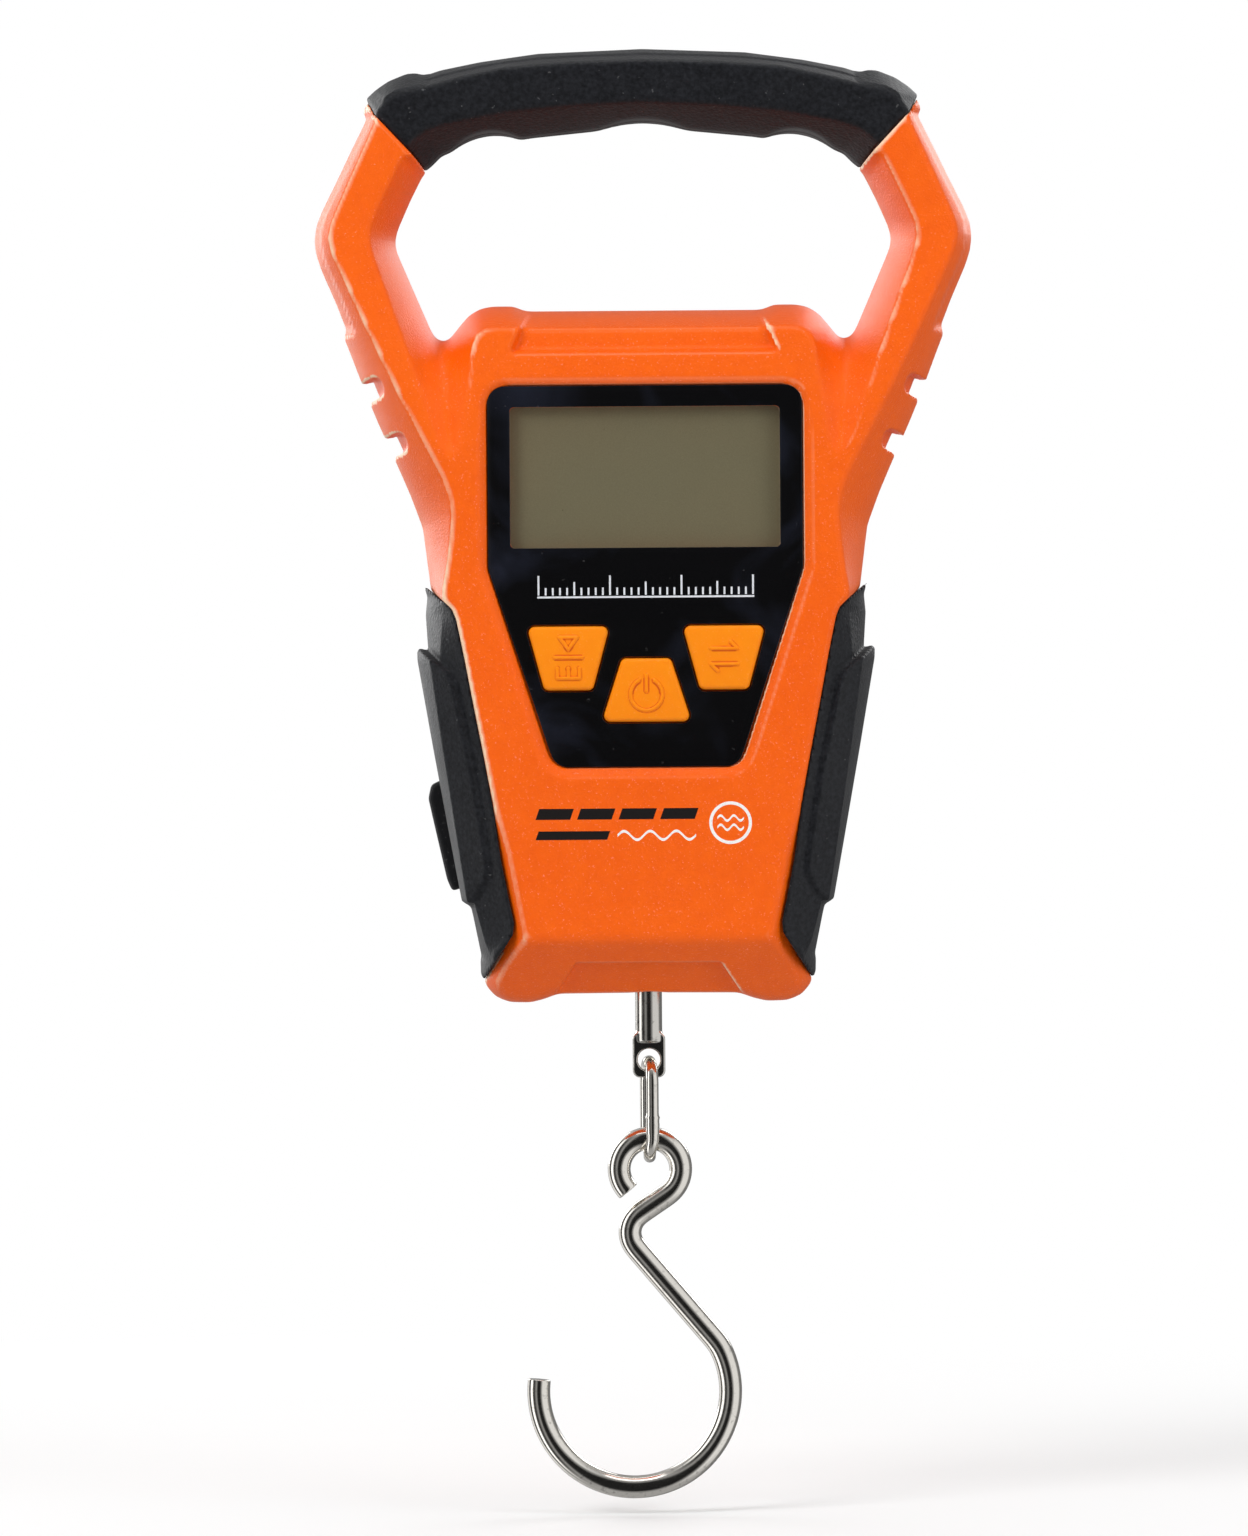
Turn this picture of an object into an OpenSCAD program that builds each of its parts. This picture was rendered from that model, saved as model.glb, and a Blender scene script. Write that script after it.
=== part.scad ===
// Digital fish scale: a hand-held hanging scale with a built-in tape measure.
// Front faces -Y, back faces +Y, +Z is up. The origin is on the load axis,
// on the plane where the two case halves meet, level with the case's bottom.

/* [Case] */
// Distance from the parting plane to the front face
case_front = 15; // [14.6:0.2:15.6]
// Distance from the parting plane to the back face
case_back = 15; // [15:0.2:15.6]
// Wall thickness of the two case halves
wall = 2; // [1.6:0.1:2.2]
// Half the depth of the handle grip
handle_half_depth = 12; // [11:0.5:13]

/* [Display and buttons] */
// Width of the display window
window_w = 46.8; // [40:0.2:48]
// Height of the display window
window_h = 24.5; // [18:0.5:25]
// Gap round each button
button_gap = 0.3; // [0.2:0.05:0.5]

/* [Hook] */
// Wire diameter of the hook
hook_wire = 4; // [3:0.1:4]
// Centre-line radius of the hook's bowl
bowl_r = 16.8; // [14:0.2:18]
// Straight length of the hook's shank
shank_len = 21.4; // [18:0.2:24]
// Wire diameter of the link
link_wire = 2.16; // [1.6:0.02:2.16]

/* [Tape measure] */
// Width of the measuring tape
tape_w = 6; // [4:0.5:6]
// Thickness of the measuring tape
tape_t = 0.3; // [0.2:0.05:0.3]
// Outer radius of the wound tape
coil_r = 12.2; // [10:0.2:12.2]

/* [Batteries] */
// Diameter of one battery cell
cell_d = 10.5; // [10.4:0.1:10.5]
// Length of one battery cell
cell_len = 44.5; // [44:0.1:44.5]

/* [Hidden] */
$fn = 48;

orange = [0.98, 0.40, 0.02];
black = [0.09, 0.09, 0.10];
steel = [0.72, 0.73, 0.75];
yellow = [1.0, 0.60, 0.08];
dark_grey = [0.2, 0.2, 0.22];
tape_white = [0.95, 0.93, 0.85];

front_y = -case_front;
sliver = 0.02;              // thickness of the end plates used in hulls
handle_rubber = 2.6;        // rubber thickness over the handle bar

// Display, keys and board
panel_y = front_y + 1;      // outer face of the lens panel
seat_y = front_y + 2;       // seat the panel sits on
adhesive_t = 0.2;
window_z = 91.45;           // centre height of the display window
board_y = [-8.2, -6.6];
on_board_y = board_y[1] + 0.02;
// Each key: [centre x, bottom z, top z, bottom width, top width]
tare_key = [-13.5, 54.5, 65.6, 8.4, 14.4];
power_key = [0, 49, 60, 15.6, 8.5];
unit_key = [13.5, 54.5, 65.6, 8.4, 14.4];
keys = [tare_key, power_key, unit_key];
key_corner_r = 1.1;

// Fixings, as [x, z] places
case_screw_at = [[19.4, 16.6], [-19.4, 16.6], [28.9, 62.6], [-28.9, 62.6],
  [50.3, 131.5], [-50.3, 131.5]];
case_boss_r = 3.1;
// Board fixings: [x, z, boss radius, y of the hole's front end, screw head radius]
board_fixings = [
  [-23, 109.6, 1.75, -11.4, 1.6], [23, 109.6, 1.75, -11.4, 1.6],
  [-20, 49.5, 2.2, -11.6, 1.8], [20, 49.5, 2.2, -11.6, 1.8]];
bracket_screw_at = [for (x = [-9, 9]) [x, 60.6]];

// Load cell and hanger
load_half_w = 13;
load_z = 34;                // middle height of the load cell
thread_r = 2;
tapped_r = thread_r + 0.05;
rod_r = 2.35;
seal_z = [3.6, 6.8];        // groove for the hanger seal
eye_z = -10.05;             // centre of the hanger's cross hole
eye_half_t = 1.5;
link_top_z = -14.3;         // centre of the link's upper bend
link_bot_z = -23.1;         // centre of the link's lower bend
link_half = 3.9;
hook_centre_z = -29.2;      // centre of the hook's eye
hook_eye_r = 5.4;

// Battery bay
battery_y = 7.2;
battery_z = [75.2, 86.6];
bay_half_w = 25.2;
bay_z = [69, 93];
door_half_w = 26;
door_z = [67.5, 95.5];

// Tape measure
tape_x = 2;
tape_z = 41.6;              // height of the tape drum's axis
tape_at = [tape_x, tape_z];
tape_front = 5.8;           // front edge of the tape
tail_top = tape_z - coil_r - 0.08;
tail_low = tail_top - tape_t;
cup_r = 15;
axle_r = 1.5;
tape_screw_angles = [40, 150, 270];
tape_screw_at = [for (angle = tape_screw_angles) tape_polar(17.2, angle)];
tab_seat_y = 2.2;           // flat seat behind the tape tab
tab_seat_z = [18.2, 40.6];

// ---- helpers ----

// A half outline, mirrored into a closed outline.
function mirrored(half) =
  concat(half, [for (i = [len(half) - 1 : -1 : 0]) [-half[i][0], half[i][1]]]);
// An outline on the +X side (side = 1) or flipped to the -X side (side = -1).
function on_side(outline, side) = [for (point = outline) [side * point[0], point[1]]];
// The range that reaches half to each side of middle.
function span(half, middle = 0) = [middle - half, middle + half];
function tape_polar(radius, angle) =
  [tape_x + radius * cos(angle), tape_z + radius * sin(angle)];
// Depth range of the tape, with a gap at each edge.
function tape_depth(gap) = [tape_front - gap, tape_front + tape_w + gap];

// Outline drawn in x and z, standing between y0 and y1.
module slab(y0, y1)
  translate([0, y1, 0]) rotate([90, 0, 0]) linear_extrude(y1 - y0) children();
module thin_slab(y) slab(y, y + sliver) children();
// Cylinder along Y at place [x, z].
module y_rod(place, y0, y1, radius)
  translate([place[0], y1, place[1]]) rotate([90, 0, 0]) cylinder(r = radius, h = y1 - y0);
module z_rod(z0, z1, radius) translate([0, 0, z0]) cylinder(r = radius, h = z1 - z0);
// Box given by its three ranges.
module block(x, y, z)
  translate([x[0], y[0], z[0]]) cube([x[1] - x[0], y[1] - y[0], z[1] - z[0]]);

// Screw with a cross-slotted head, its head towards +Y (toward = 1) or -Y (toward = -1).
module y_screw(place, y, head_r, head_h, radius, length, toward = 1) {
  slot = head_r * 1.24;
  translate([place[0], y, place[1]]) rotate([-90 * toward, 0, 0]) {
    difference() {
      cylinder(r = head_r, h = head_h);
      for (size = [[slot, 0.5, 1], [0.5, slot, 1]])
        translate([-size[0] / 2, -size[1] / 2, head_h - 0.7]) cube(size);
    }
    translate([0, 0, -length]) cylinder(r = radius, h = length + 0.1);
  }
}
// Round wire bent about Z.
module arc_wire(bend_r, wire_r, start, sweep)
  rotate([0, 0, start]) rotate_extrude(angle = sweep) translate([bend_r, 0]) circle(r = wire_r);
// Straight wire from start along the vector run.
module wire(start, run, radius)
  translate(start) rotate([0, acos(run[2] / norm(run)), atan2(run[1], run[0])])
    cylinder(r = radius, h = norm(run));

// ---- case shape: [x, z] outlines of the front half, drawn towards -Y ----
// "back" outlines lie at the parting plane, "front" ones at the face.
low_back = [[0, 0], [24.8, 0], [27.2, 1.4], [28.8, 5], [38.3, 79], [38.3, 82]];
low_front = [[0, 11.2], [24.9, 11.2], [33.2, 80], [33.4, 82]];
up_back = [[0, 77], [37, 77], [35.8, 104], [34.6, 116], [32.4, 118], [29.9, 120.8],
  [27.4, 122], [0, 122]];
up_front = [[0, 77], [33.3, 77], [32.1, 96.6], [30.8, 105.2], [29.4, 115.5],
  [27.6, 117.2], [0, 117.2]];
arm_back = [[36.6, 77], [38.4, 79.5], [52.2, 117], [57.7, 132], [57.8, 134],
  [43.3, 134], [35, 115.9], [31, 96], [32, 80]];
arm_front_low = [[33.4, 79], [39.9, 96], [34.6, 95.3], [33.2, 90]];
arm_front_high = [[53.9, 131], [54.5, 134], [47.7, 134]];
top_back = [[57.8, 133.4], [57.4, 136.4], [56.3, 139.2], [53.6, 144.8], [50.9, 150.2],
  [48.9, 154.4], [48, 157.6], [38.1, 145.6], [40.5, 140.4], [43.3, 133.4]];
top_front = [[54.5, 133.4], [53.3, 138], [50.6, 144.4], [47.4, 150.4], [46.2, 152.4],
  [41.4, 147.4], [43.6, 142.6], [47.7, 133.4]];
// Bar inside the handle, under the rubber.
bar = [[0, 157.2], [30.5, 154.4], [38.2, 151.8], [40.4, 148.1], [47.4, 154.9],
  [46.6, 156.2], [44.2, 157.6], [38, 158.9], [28, 161.2], [18, 162.6], [0, 163.3]];
// Front-view outline of a side grip, and the case core left under the grips.
band = [[33.6, 68.7], [33, 67], [31.7, 60.6], [30.1, 51.9], [28.5, 43.6], [26.9, 34.8],
  [25.5, 25.1], [24.2, 18.5], [23.3, 14.2], [23.5, 12.3], [27.8, 5.6], [28.6, 4],
  [46, 4], [46, 73.3], [38.6, 73.3], [35.3, 70]];
core_mid = [[0, 1], [26.2, 4.2], [35.7, 79], [35.7, 82]];
core_face = [[0, 12], [23.3, 12], [31.6, 80], [31.6, 82]];
// Hollows: full depth and shallow in the body, shallow and deep in the arms.
cave = [[0, 12], [20.8, 12], [29.3, 78], [29.6, 96], [28.4, 105], [26.8, 111.5], [0, 111.5]];
cave_mid = [[0, 12], [22.6, 12], [31.2, 72], [33, 79], [33.4, 96], [32.6, 104],
  [31, 111.5], [0, 111.5]];
arm_cave = [[39.5, 92], [42.6, 96], [50, 116], [55.4, 131], [55.3, 135], [51.6, 143],
  [48.2, 149.6], [45.4, 149.6], [41.4, 145.6], [43, 141], [45.8, 134], [37.8, 113],
  [36.4, 104]];
arm_deep = [[41, 106], [43.6, 108], [51.6, 130], [51.8, 134], [47.6, 144], [45.4, 145],
  [50, 133.6], [42.4, 112]];

// Symmetric body part, narrowing from its back outline to its front outline.
module tapered_body(back, back_depth, front, depth) hull() {
  slab(-back_depth, 0) polygon(mirrored(back));
  thin_slab(-depth) polygon(mirrored(front));
}
module arm(side, depth) hull() {
  slab(-3.6, 0) polygon(on_side(arm_back, side));
  thin_slab(-depth) polygon(on_side(arm_front_low, side));
  thin_slab(-handle_half_depth - 0.8) polygon(on_side(arm_front_high, side));
}
module arm_top(side) hull() {
  slab(-3.6, 0) polygon(on_side(top_back, side));
  slab(-handle_half_depth - 0.8, -handle_half_depth - 0.2)
    polygon(on_side([top_front[0], top_front[7], [50.6, 137]], side));
  thin_slab(-handle_half_depth) polygon(on_side(top_front, side));
}
module handle_bar(back_y) slab(-handle_half_depth + handle_rubber, back_y) polygon(mirrored(bar));
module grip_channels(depth) difference() {
  slab(-depth - 1, 0.01) for (side = [1, -1]) polygon(on_side(band, side));
  hull() {
    slab(-4, 0.02) polygon(mirrored(core_mid));
    thin_slab(-depth + wall) polygon(mirrored(core_face));
  }
}
module shell_solid(depth) {
  difference() {
    tapered_body(low_back, 6, low_front, depth);
    grip_channels(depth);
  }
  tapered_body(up_back, 5, up_front, depth);
  for (side = [1, -1]) {
    arm(side, depth);
    arm_top(side);
  }
  handle_bar(0);
}
module cavities(depth) {
  slab(-depth, 0.01) polygon(mirrored(cave));
  slab(-6, 0.01) polygon(mirrored(cave_mid));
  for (side = [1, -1]) {
    slab(-3.6, 0.01) polygon(on_side(arm_cave, side));
    slab(-9.8, 0.01) polygon(on_side(arm_deep, side));
  }
}
// Hollow case half with its half of the seat round the hanger rod.
module case_half(depth) {
  difference() {
    shell_solid(depth);
    cavities(depth - wall);
  }
  intersection() {
    z_rod(0.8, 8.6, 6);
    block(span(8), [-8, 0], [-2, 9]);
  }
}
// Slots in each arm's outer flank: [x, z, half height].
flank_slot_at = [[47.4, 106.6, 1.9], [44.6, 98.6, 2.1]];
module flank_slots() for (side = [1, -1], slot = flank_slot_at)
  translate([side * slot[0], 0, slot[1]]) rotate([0, side * 20, 0])
    block(span(2.6), [-8, 0.01], span(slot[2]));
// Cuts that both case halves share.
module shared_cuts(depth) {
  z_rod(-1, 20, 2.9);
  z_rod(seal_z[0], seal_z[1], 4.4);
  z_rod(8.5, 12.1, 6.4);
  flank_slots();
  // sloping recess across the top of the body
  translate([0, -depth, 112.4]) rotate([-32, 0, 0]) block(span(20.4), [-8, 0], [-1, 20]);
  block(span(20.4), [-8, 0.1], [121, 124]);
}

panel = [[0, 41.2], [14.6, 41.2], [17.1, 43.6], [27.3, 75.6], [27.3, 104.3],
  [24.3, 107.3], [0, 107.3]];
module panel_outline(grow) offset(delta = grow) polygon(mirrored(panel));
module window_cut() slab(front_y, 0)
  translate([-window_w / 2, window_z - window_h / 2]) square([window_w, window_h]);
// Rounded trapezoid of a key, grown all round.
module key_outline(key, grow) {
  x = key[0];
  half_low = key[3] / 2;
  half_top = key[4] / 2;
  offset(delta = grow) offset(r = key_corner_r) offset(delta = -key_corner_r)
    polygon([[x - half_low, key[1]], [x + half_low, key[1]],
      [x + half_top, key[2]], [x - half_top, key[2]]]);
}
module key_cuts(gap) for (key = keys) slab(front_y, 0) key_outline(key, gap);

module front_cover() color(orange) difference() {
  union() {
    case_half(case_front);
    // floor behind the display panel
    intersection() {
      slab(front_y + 1, front_y + 3.4) panel_outline(2.2);
      slab(front_y, 0)
        polygon(mirrored([[0, 12], [24, 12], [33, 80], [30, 111.6], [0, 111.6]]));
    }
    for (place = case_screw_at) y_rod(place, -9.4, -0.02, case_boss_r);
    for (fixing = board_fixings) y_rod(fixing, front_y + 1.6, board_y[0] - 0.02, fixing[2]);
  }
  slab(front_y - 0.1, front_y + 0.9) panel_outline(1.1);
  slab(front_y + 0.5, seat_y) panel_outline(0.1);
  window_cut();
  key_cuts(button_gap);
  for (place = case_screw_at) y_rod(place, -8.4, 0.1, 1.3);
  for (fixing = board_fixings) y_rod(fixing, fixing[3], -8, 0.85);
  shared_cuts(case_front);
  // recess at the bottom of the face
  slab(front_y - 1, -7.7) polygon(mirrored([[0, 7], [13, 7], [16.4, 1.9], [16.4, -1], [0, -1]]));
}

module battery_bay() difference() {
  block(span(27), [1.2, case_back - 0.6], [67.4, 94.6]);
  block(span(bay_half_w), [1.9, case_back + 1], bay_z);
}
// Block that carries the tape tab.
module tab_block() intersection() {
  block([-33, -22], [tab_seat_y + 0.05, case_back - 1.8],
    [tab_seat_z[0] + 0.05, tab_seat_z[1] - 0.05]);
  slab(0, case_back) polygon([[-22, 16], [-28.4, 16], [-31.6, 42], [-22, 42]]);
}
module rear_cover() color(orange) difference() {
  union() {
    mirror([0, 1, 0]) case_half(case_back);
    battery_bay();
    for (place = case_screw_at) y_rod(place, 0.02, case_back - 1, case_boss_r);
    for (place = bracket_screw_at) y_rod(place, 4.05, case_back - 1, 2.4);
    for (place = tape_screw_at) y_rod(place, 6.4, case_back - 1, 1.9);
    tab_block();
  }
  for (place = case_screw_at) {
    y_rod(place, -0.1, case_back + 1, 1.55);
    y_rod(place, 11, case_back + 1, 2.9);
  }
  for (place = bracket_screw_at) y_rod(place, 3.9, 11.5, 0.9);
  for (place = tape_screw_at) y_rod(place, 6, 11.4, 0.75);
  // battery opening, the door's rebate and the notch for its tongue
  block(span(bay_half_w), [case_back - 2.4, case_back + 1], bay_z);
  block(span(door_half_w), [case_back - 1.8, case_back + 1], [door_z[0] + 0.6, door_z[1] - 1.1]);
  block(span(5.4), [case_back - 3.4, case_back + 1], [bay_z[1], door_z[1]]);
  // flat seat for the tab and slit for the tape
  block([-40, -29.9], [tab_seat_y, case_back + 1], tab_seat_z);
  block([-40, -20], tape_depth(0.3), [28.5, 29.9]);
  mirror([0, 1, 0]) shared_cuts(case_back);
  // recess at the bottom of the back
  slab(9.4, case_back + 1) polygon(mirrored([[0, 5.5], [12, 5.5], [15, 1.9], [15, -1], [0, -1]]));
}

// ---- rubber grips ----

// Half outline of a handle grip, with a wavy lower edge.
grip_edge = [[0, 166.3], [18, 165.6], [28.2, 164.2], [35.2, 162.8], [38.3, 161.6],
  [39.6, 162], [41, 162], [44.1, 160.9], [46.9, 158.8], [48, 157.65], [38.1, 145.65],
  [36.6, 147.6], [32.5, 149.6], [29.6, 150.9], [26, 152.1], [21.6, 152.2], [19, 151.5],
  [13, 151.9], [7.2, 152.7], [4.3, 153.9], [0, 154.1]];
module grip_half() difference() {
  union() {
    slab(-handle_half_depth + 2.2, -0.02) polygon(mirrored(grip_edge));
    slab(-handle_half_depth, -handle_half_depth + 2.4)
      offset(delta = -1.7) polygon(mirrored(grip_edge));
  }
  handle_bar(0.1);
}
module handle_grip_front() color(black) grip_half();
module handle_grip_rear() color(black) mirror([0, 1, 0]) grip_half();

// Side grips, wrapped round the case's waist.
side_grip_mid = [[0, 2], [29.4, 4], [30.4, 13], [32.3, 17.2], [38.3, 47], [40.2, 60],
  [40.3, 62.6], [39, 68], [38.8, 75]];
side_grip_face = [[0, 4], [25, 4], [33.2, 80]];
module side_grip(side) difference() {
  intersection() {
    hull() {
      slab(-6.6, 6.6) polygon(mirrored(side_grip_mid));
      for (y = [front_y, case_back - sliver]) thin_slab(y) polygon(mirrored(side_grip_face));
    }
    slab(front_y + 0.1, case_back - 0.1) offset(delta = -0.05) polygon(on_side(band, side));
  }
  hull() {
    slab(-4, 4) polygon(mirrored(core_mid));
    for (y = [front_y + wall, case_back - wall - sliver])
      thin_slab(y) polygon(mirrored(core_face));
  }
  // the case's own sloping bottom edge, front and back
  for (end = [-1, 1]) translate([0, 6 * end, 0]) rotate([-51.2 * end, 0, 0])
    block(span(60), span(30), [-30, 0]);
  if (side < 0) block([-50, -20], [tab_seat_y, case_back + 1], tab_seat_z);
}
module side_grip_left() color(black) side_grip(-1);
module side_grip_right() color(black) side_grip(1);

// ---- display panel and what lies behind it ----
module lens_panel() color([0.05, 0.05, 0.06]) difference() {
  slab(panel_y, seat_y - adhesive_t) panel_outline(0);
  key_cuts(button_gap);
}
module panel_adhesive() color([0.12, 0.12, 0.12]) difference() {
  slab(seat_y - adhesive_t, seat_y) panel_outline(-0.3);
  key_cuts(button_gap + 0.2);
  window_cut();
}
module lcd_glass() color([0.43, 0.41, 0.31]) block(span(26), [-11.55, -9.95], [77.4, 106.2]);
behind_lcd_y = [-9.9, board_y[0] - 0.05];
module lcd_backlight() color([0.85, 0.88, 0.75]) difference() {
  block(span(25), behind_lcd_y, [77.6, 102.6]);
  block(span(20), [-8.9, -8], [80, 100]);
}
module zebra_strip() color([0.9, 0.5, 0.6]) block(span(24), behind_lcd_y, [103.4, 105.8]);

board = [[0, 46.2], [22.4, 46.2], [23.6, 56], [25.6, 58.2], [25.6, 70], [26.4, 72],
  [26.4, 111.2], [0, 111.2]];
module main_board() color([0.05, 0.35, 0.15]) difference() {
  slab(board_y[0], board_y[1]) polygon(mirrored(board));
  for (fixing = board_fixings) y_rod(fixing, -9, -6, 1.1);
}
// Low dome on the board's back.
module controller_chip() color(black) intersection() {
  translate([-2, -11.6, 92]) sphere(r = 8);
  block([-12, 10], [on_board_y, -2], [80, 104]);
}
module amplifier_chip() color(black) {
  block([8, 13], [on_board_y, -5], [56, 60]);
  // legs
  for (z = [56.5 : 1 : 59.5], x = [7.2, 13]) block([x, x + 0.8], [on_board_y, -6], span(0.2, z));
}
// A row of flat capacitors and one round one.
module board_capacitors() color([0.75, 0.6, 0.4]) {
  for (x = [-16 : 4 : 4]) block([x, x + 2], [on_board_y, -5.7], [70, 71.2]);
  y_rod([-16, 60], on_board_y, -3.6, 2.5);
}
module board_screws() color(steel) for (fixing = board_fixings)
  y_screw(fixing, on_board_y, head_r = fixing[4], head_h = 1, radius = 0.8, length = 4.4);

// ---- silicone keypad sheet and its three keys ----
web = [[0, 44.6], [15.6, 44.6], [20, 56], [23.6, 67.4], [23.6, 70.4], [0, 70.4]];
web_front = -11.55;
module keypad_web() color(yellow) difference() {
  slab(web_front, -10.6) polygon(mirrored(web));
  key_cuts(1);
  // clearance round the two lower board bosses
  for (i = [2, 3]) y_rod(board_fixings[i], -13, -8, 2.4);
}
// Cap, flange and stem of one key.
module button(key) color(yellow) {
  slab(front_y, -11.5) key_outline(key, 0);
  slab(web_front, -10.8) key_outline(key, 0.8);
  slab(-10.85, -9.6) key_outline(key, -2);
}
module contact(key) color(black) slab(-9.58, -9.1) key_outline(key, -2.6);
module tare_button() button(tare_key);
module power_button() button(power_key);
module unit_button() button(unit_key);
module tare_contact() contact(tare_key);
module power_contact() contact(power_key);
module unit_contact() contact(unit_key);

// ---- S-shaped load cell and its bracket ----
module load_cell() color([0.80, 0.81, 0.83]) difference() {
  block(span(load_half_w), span(4), span(20, load_z));
  // two joined holes through the middle
  for (x = [-5.6, 5.6]) y_rod([x, load_z], -5, 5, 4.4);
  block(span(5.6), span(5), span(2.4, load_z));
  // slits, one from each side
  block([-14, 8.6], span(5), [43.4, 45]);
  block([-8.6, 14], span(5), [23, 24.6]);
  z_rod(13, 22.6, tapped_r);
  z_rod(46, 56, tapped_r);
}
module strain_gauges() color([0.85, 0.65, 0.35]) for (side = [-1, 1])
  block(span(0.075, side * (load_half_w + 0.075)), span(3), span(3, load_z));
module load_bracket() color(steel) difference() {
  union() {
    block(span(load_half_w), span(3.6), [54.05, 56]);
    block(span(load_half_w), [2.4, 4], [54.05, 64.4]);
  }
  z_rod(53, 58, 2.1);
  for (place = bracket_screw_at) y_rod(place, 2, 5, 1.3);
}
module bracket_bolt() color(steel) {
  difference() {
    z_rod(56.02, 58.42, 2.3);
    translate([0, 0, 57]) cylinder(r = 1.3, h = 2, $fn = 6);
  }
  z_rod(47.4, 56.1, thread_r);
}
module bracket_screws() color(steel) for (place = bracket_screw_at)
  y_screw(place, 2.38, head_r = 2.1, head_h = 1.3, radius = 0.85, length = 8, toward = -1);

// ---- hanger rod with its flattened eye, lock nut and seal ----
module hanger_rod() color(steel) difference() {
  union() {
    z_rod(-6.4, 10.7, rod_r);
    z_rod(10.6, 22, thread_r);
    y_rod([0, eye_z], -eye_half_t, eye_half_t, 3.15);
    intersection() {
      translate([0, 0, -9.4]) cylinder(r1 = 2.9, r2 = rod_r, h = 4.2);
      block(span(5), span(eye_half_t + 0.85), [-7.4, -4]);
    }
    block(span(2.6), span(eye_half_t), [-9, -6]);
  }
  y_rod([0, eye_z], -3, 3, 1.95);
}
module hanger_nut() color(steel) difference() {
  translate([0, 0, 10.75]) cylinder(r = 4.04, h = 3.2, $fn = 6);
  z_rod(10, 15, tapped_r);
}
module hanger_seal() color(black) difference() {
  z_rod(seal_z[0] + 0.05, seal_z[1] - 0.05, 4.35);
  z_rod(3, 8, 2.4);
}

// Oval link, standing in the y-z plane.
module link_ring() color(steel) {
  wire_r = link_wire / 2;
  // each bend: [centre z, start angle]
  for (bend = [[link_top_z, 90], [link_bot_z, -90]])
    translate([0, 0, bend[0]]) rotate([0, 90, 0]) arc_wire(link_half, wire_r, bend[1], 180);
  for (side = [-1, 1]) translate([0, side * link_half, 0]) z_rod(link_bot_z, link_top_z, wire_r);
  // weld bead on the front strand
  translate([0, -link_half, -22]) cylinder(r = wire_r + 0.2, h = 2.4);
}

// ---- hook: a path of arcs and straights, starting on the eye ----
// Each step is [radius, angle]: positive angles bend left, and radius 0 is a
// straight of that length. A state is [x, y, heading].
hook_steps = [[hook_eye_r, -282], [0, 5.9], [4, 96.3], [0, shank_len], [7.9, -15.7],
  [bowl_r, -212]];
hook_start = 226;           // angle round the eye where the wire begins
bowl_step = 5;
function bend_centre(state, step) =
  let (inward = state[2] + 90 * sign(step[1]))
    [state[0] + step[0] * cos(inward), state[1] + step[0] * sin(inward)];
function next_state(state, step) = step[0] == 0
  ? [state[0] + step[1] * cos(state[2]), state[1] + step[1] * sin(state[2]), state[2]]
  : let (centre = bend_centre(state, step),
         angle = state[2] - 90 * sign(step[1]) + step[1])
    [centre[0] + step[0] * cos(angle), centre[1] + step[0] * sin(angle), state[2] + step[1]];
function hook_state(i) = i == 0
  ? [hook_eye_r * cos(hook_start), hook_eye_r * sin(hook_start), hook_start - 90]
  : next_state(hook_state(i - 1), hook_steps[i - 1]);
// Straights and the bowl are a hair thinner and reach a little into their
// neighbours, so that the whole wire is one solid.
module hook_piece(i) {
  state = hook_state(i);
  step = hook_steps[i];
  wire_r = hook_wire / 2 - (step[0] == 0 || i == bowl_step ? 0.01 : 0);
  if (step[0] == 0)
    translate([state[0], state[1], 0]) rotate([0, 0, state[2]]) rotate([0, 90, 0])
      z_rod(-0.3, step[1] + 0.3, wire_r);
  else
    translate(concat(bend_centre(state, step), [0]))
      arc_wire(step[0], wire_r, start = state[2] - 90 * sign(step[1]) + min(0, step[1]),
        sweep = abs(step[1]) + (i == bowl_step ? 1 : 0));
}
module hook() color(steel) translate([0, 0, hook_centre_z]) rotate([90, 0, 0])
  for (i = [0 : len(hook_steps) - 1]) hook_piece(i);

// ---- battery door, cells and contacts ----
module battery_door() color(orange) {
  difference() {
    block(span(door_half_w - 0.15), [case_back - 1.7, case_back],
      [door_z[0] + 0.75, door_z[1] - 1.3]);
    // grooves near the upper edge
    for (z = [88.4 : 1.4 : 92.6]) block(span(7), [case_back - 0.5, case_back + 1], span(0.35, z));
  }
  // snap tongue: inner rib and upper lip
  block(span(5.1), [case_back - 3.2, case_back - 1.6], [91.6, 92.7]);
  block(span(5.1), [case_back - 1.7, case_back - 0.6], [94, 95.3]);
}
module door_seal() color(black) difference() {
  block(span(25.1), [case_back - 2.35, case_back - 1.75], [69.1, 91.3]);
  block(span(23.9), [case_back - 3, case_back], [70.3, 90.1]);
}

// The lower cell (i = 0) points towards +X, the upper one towards -X.
function cell_side(i) = i == 0 ? 1 : -1;
nub_len = 0.9;              // raised terminal on the end of a cell
module batteries() color([0.2, 0.3, 0.5]) for (i = [0, 1]) {
  side = cell_side(i);
  translate([-side * (cell_len / 2 - 0.4), battery_y, battery_z[i]]) rotate([0, side * 90, 0]) {
    z_rod(0, cell_len - nub_len, cell_d / 2);
    translate([0, 0, cell_len - nub_len - 0.01]) cylinder(r = 1.9, h = nub_len);
  }
}
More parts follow.
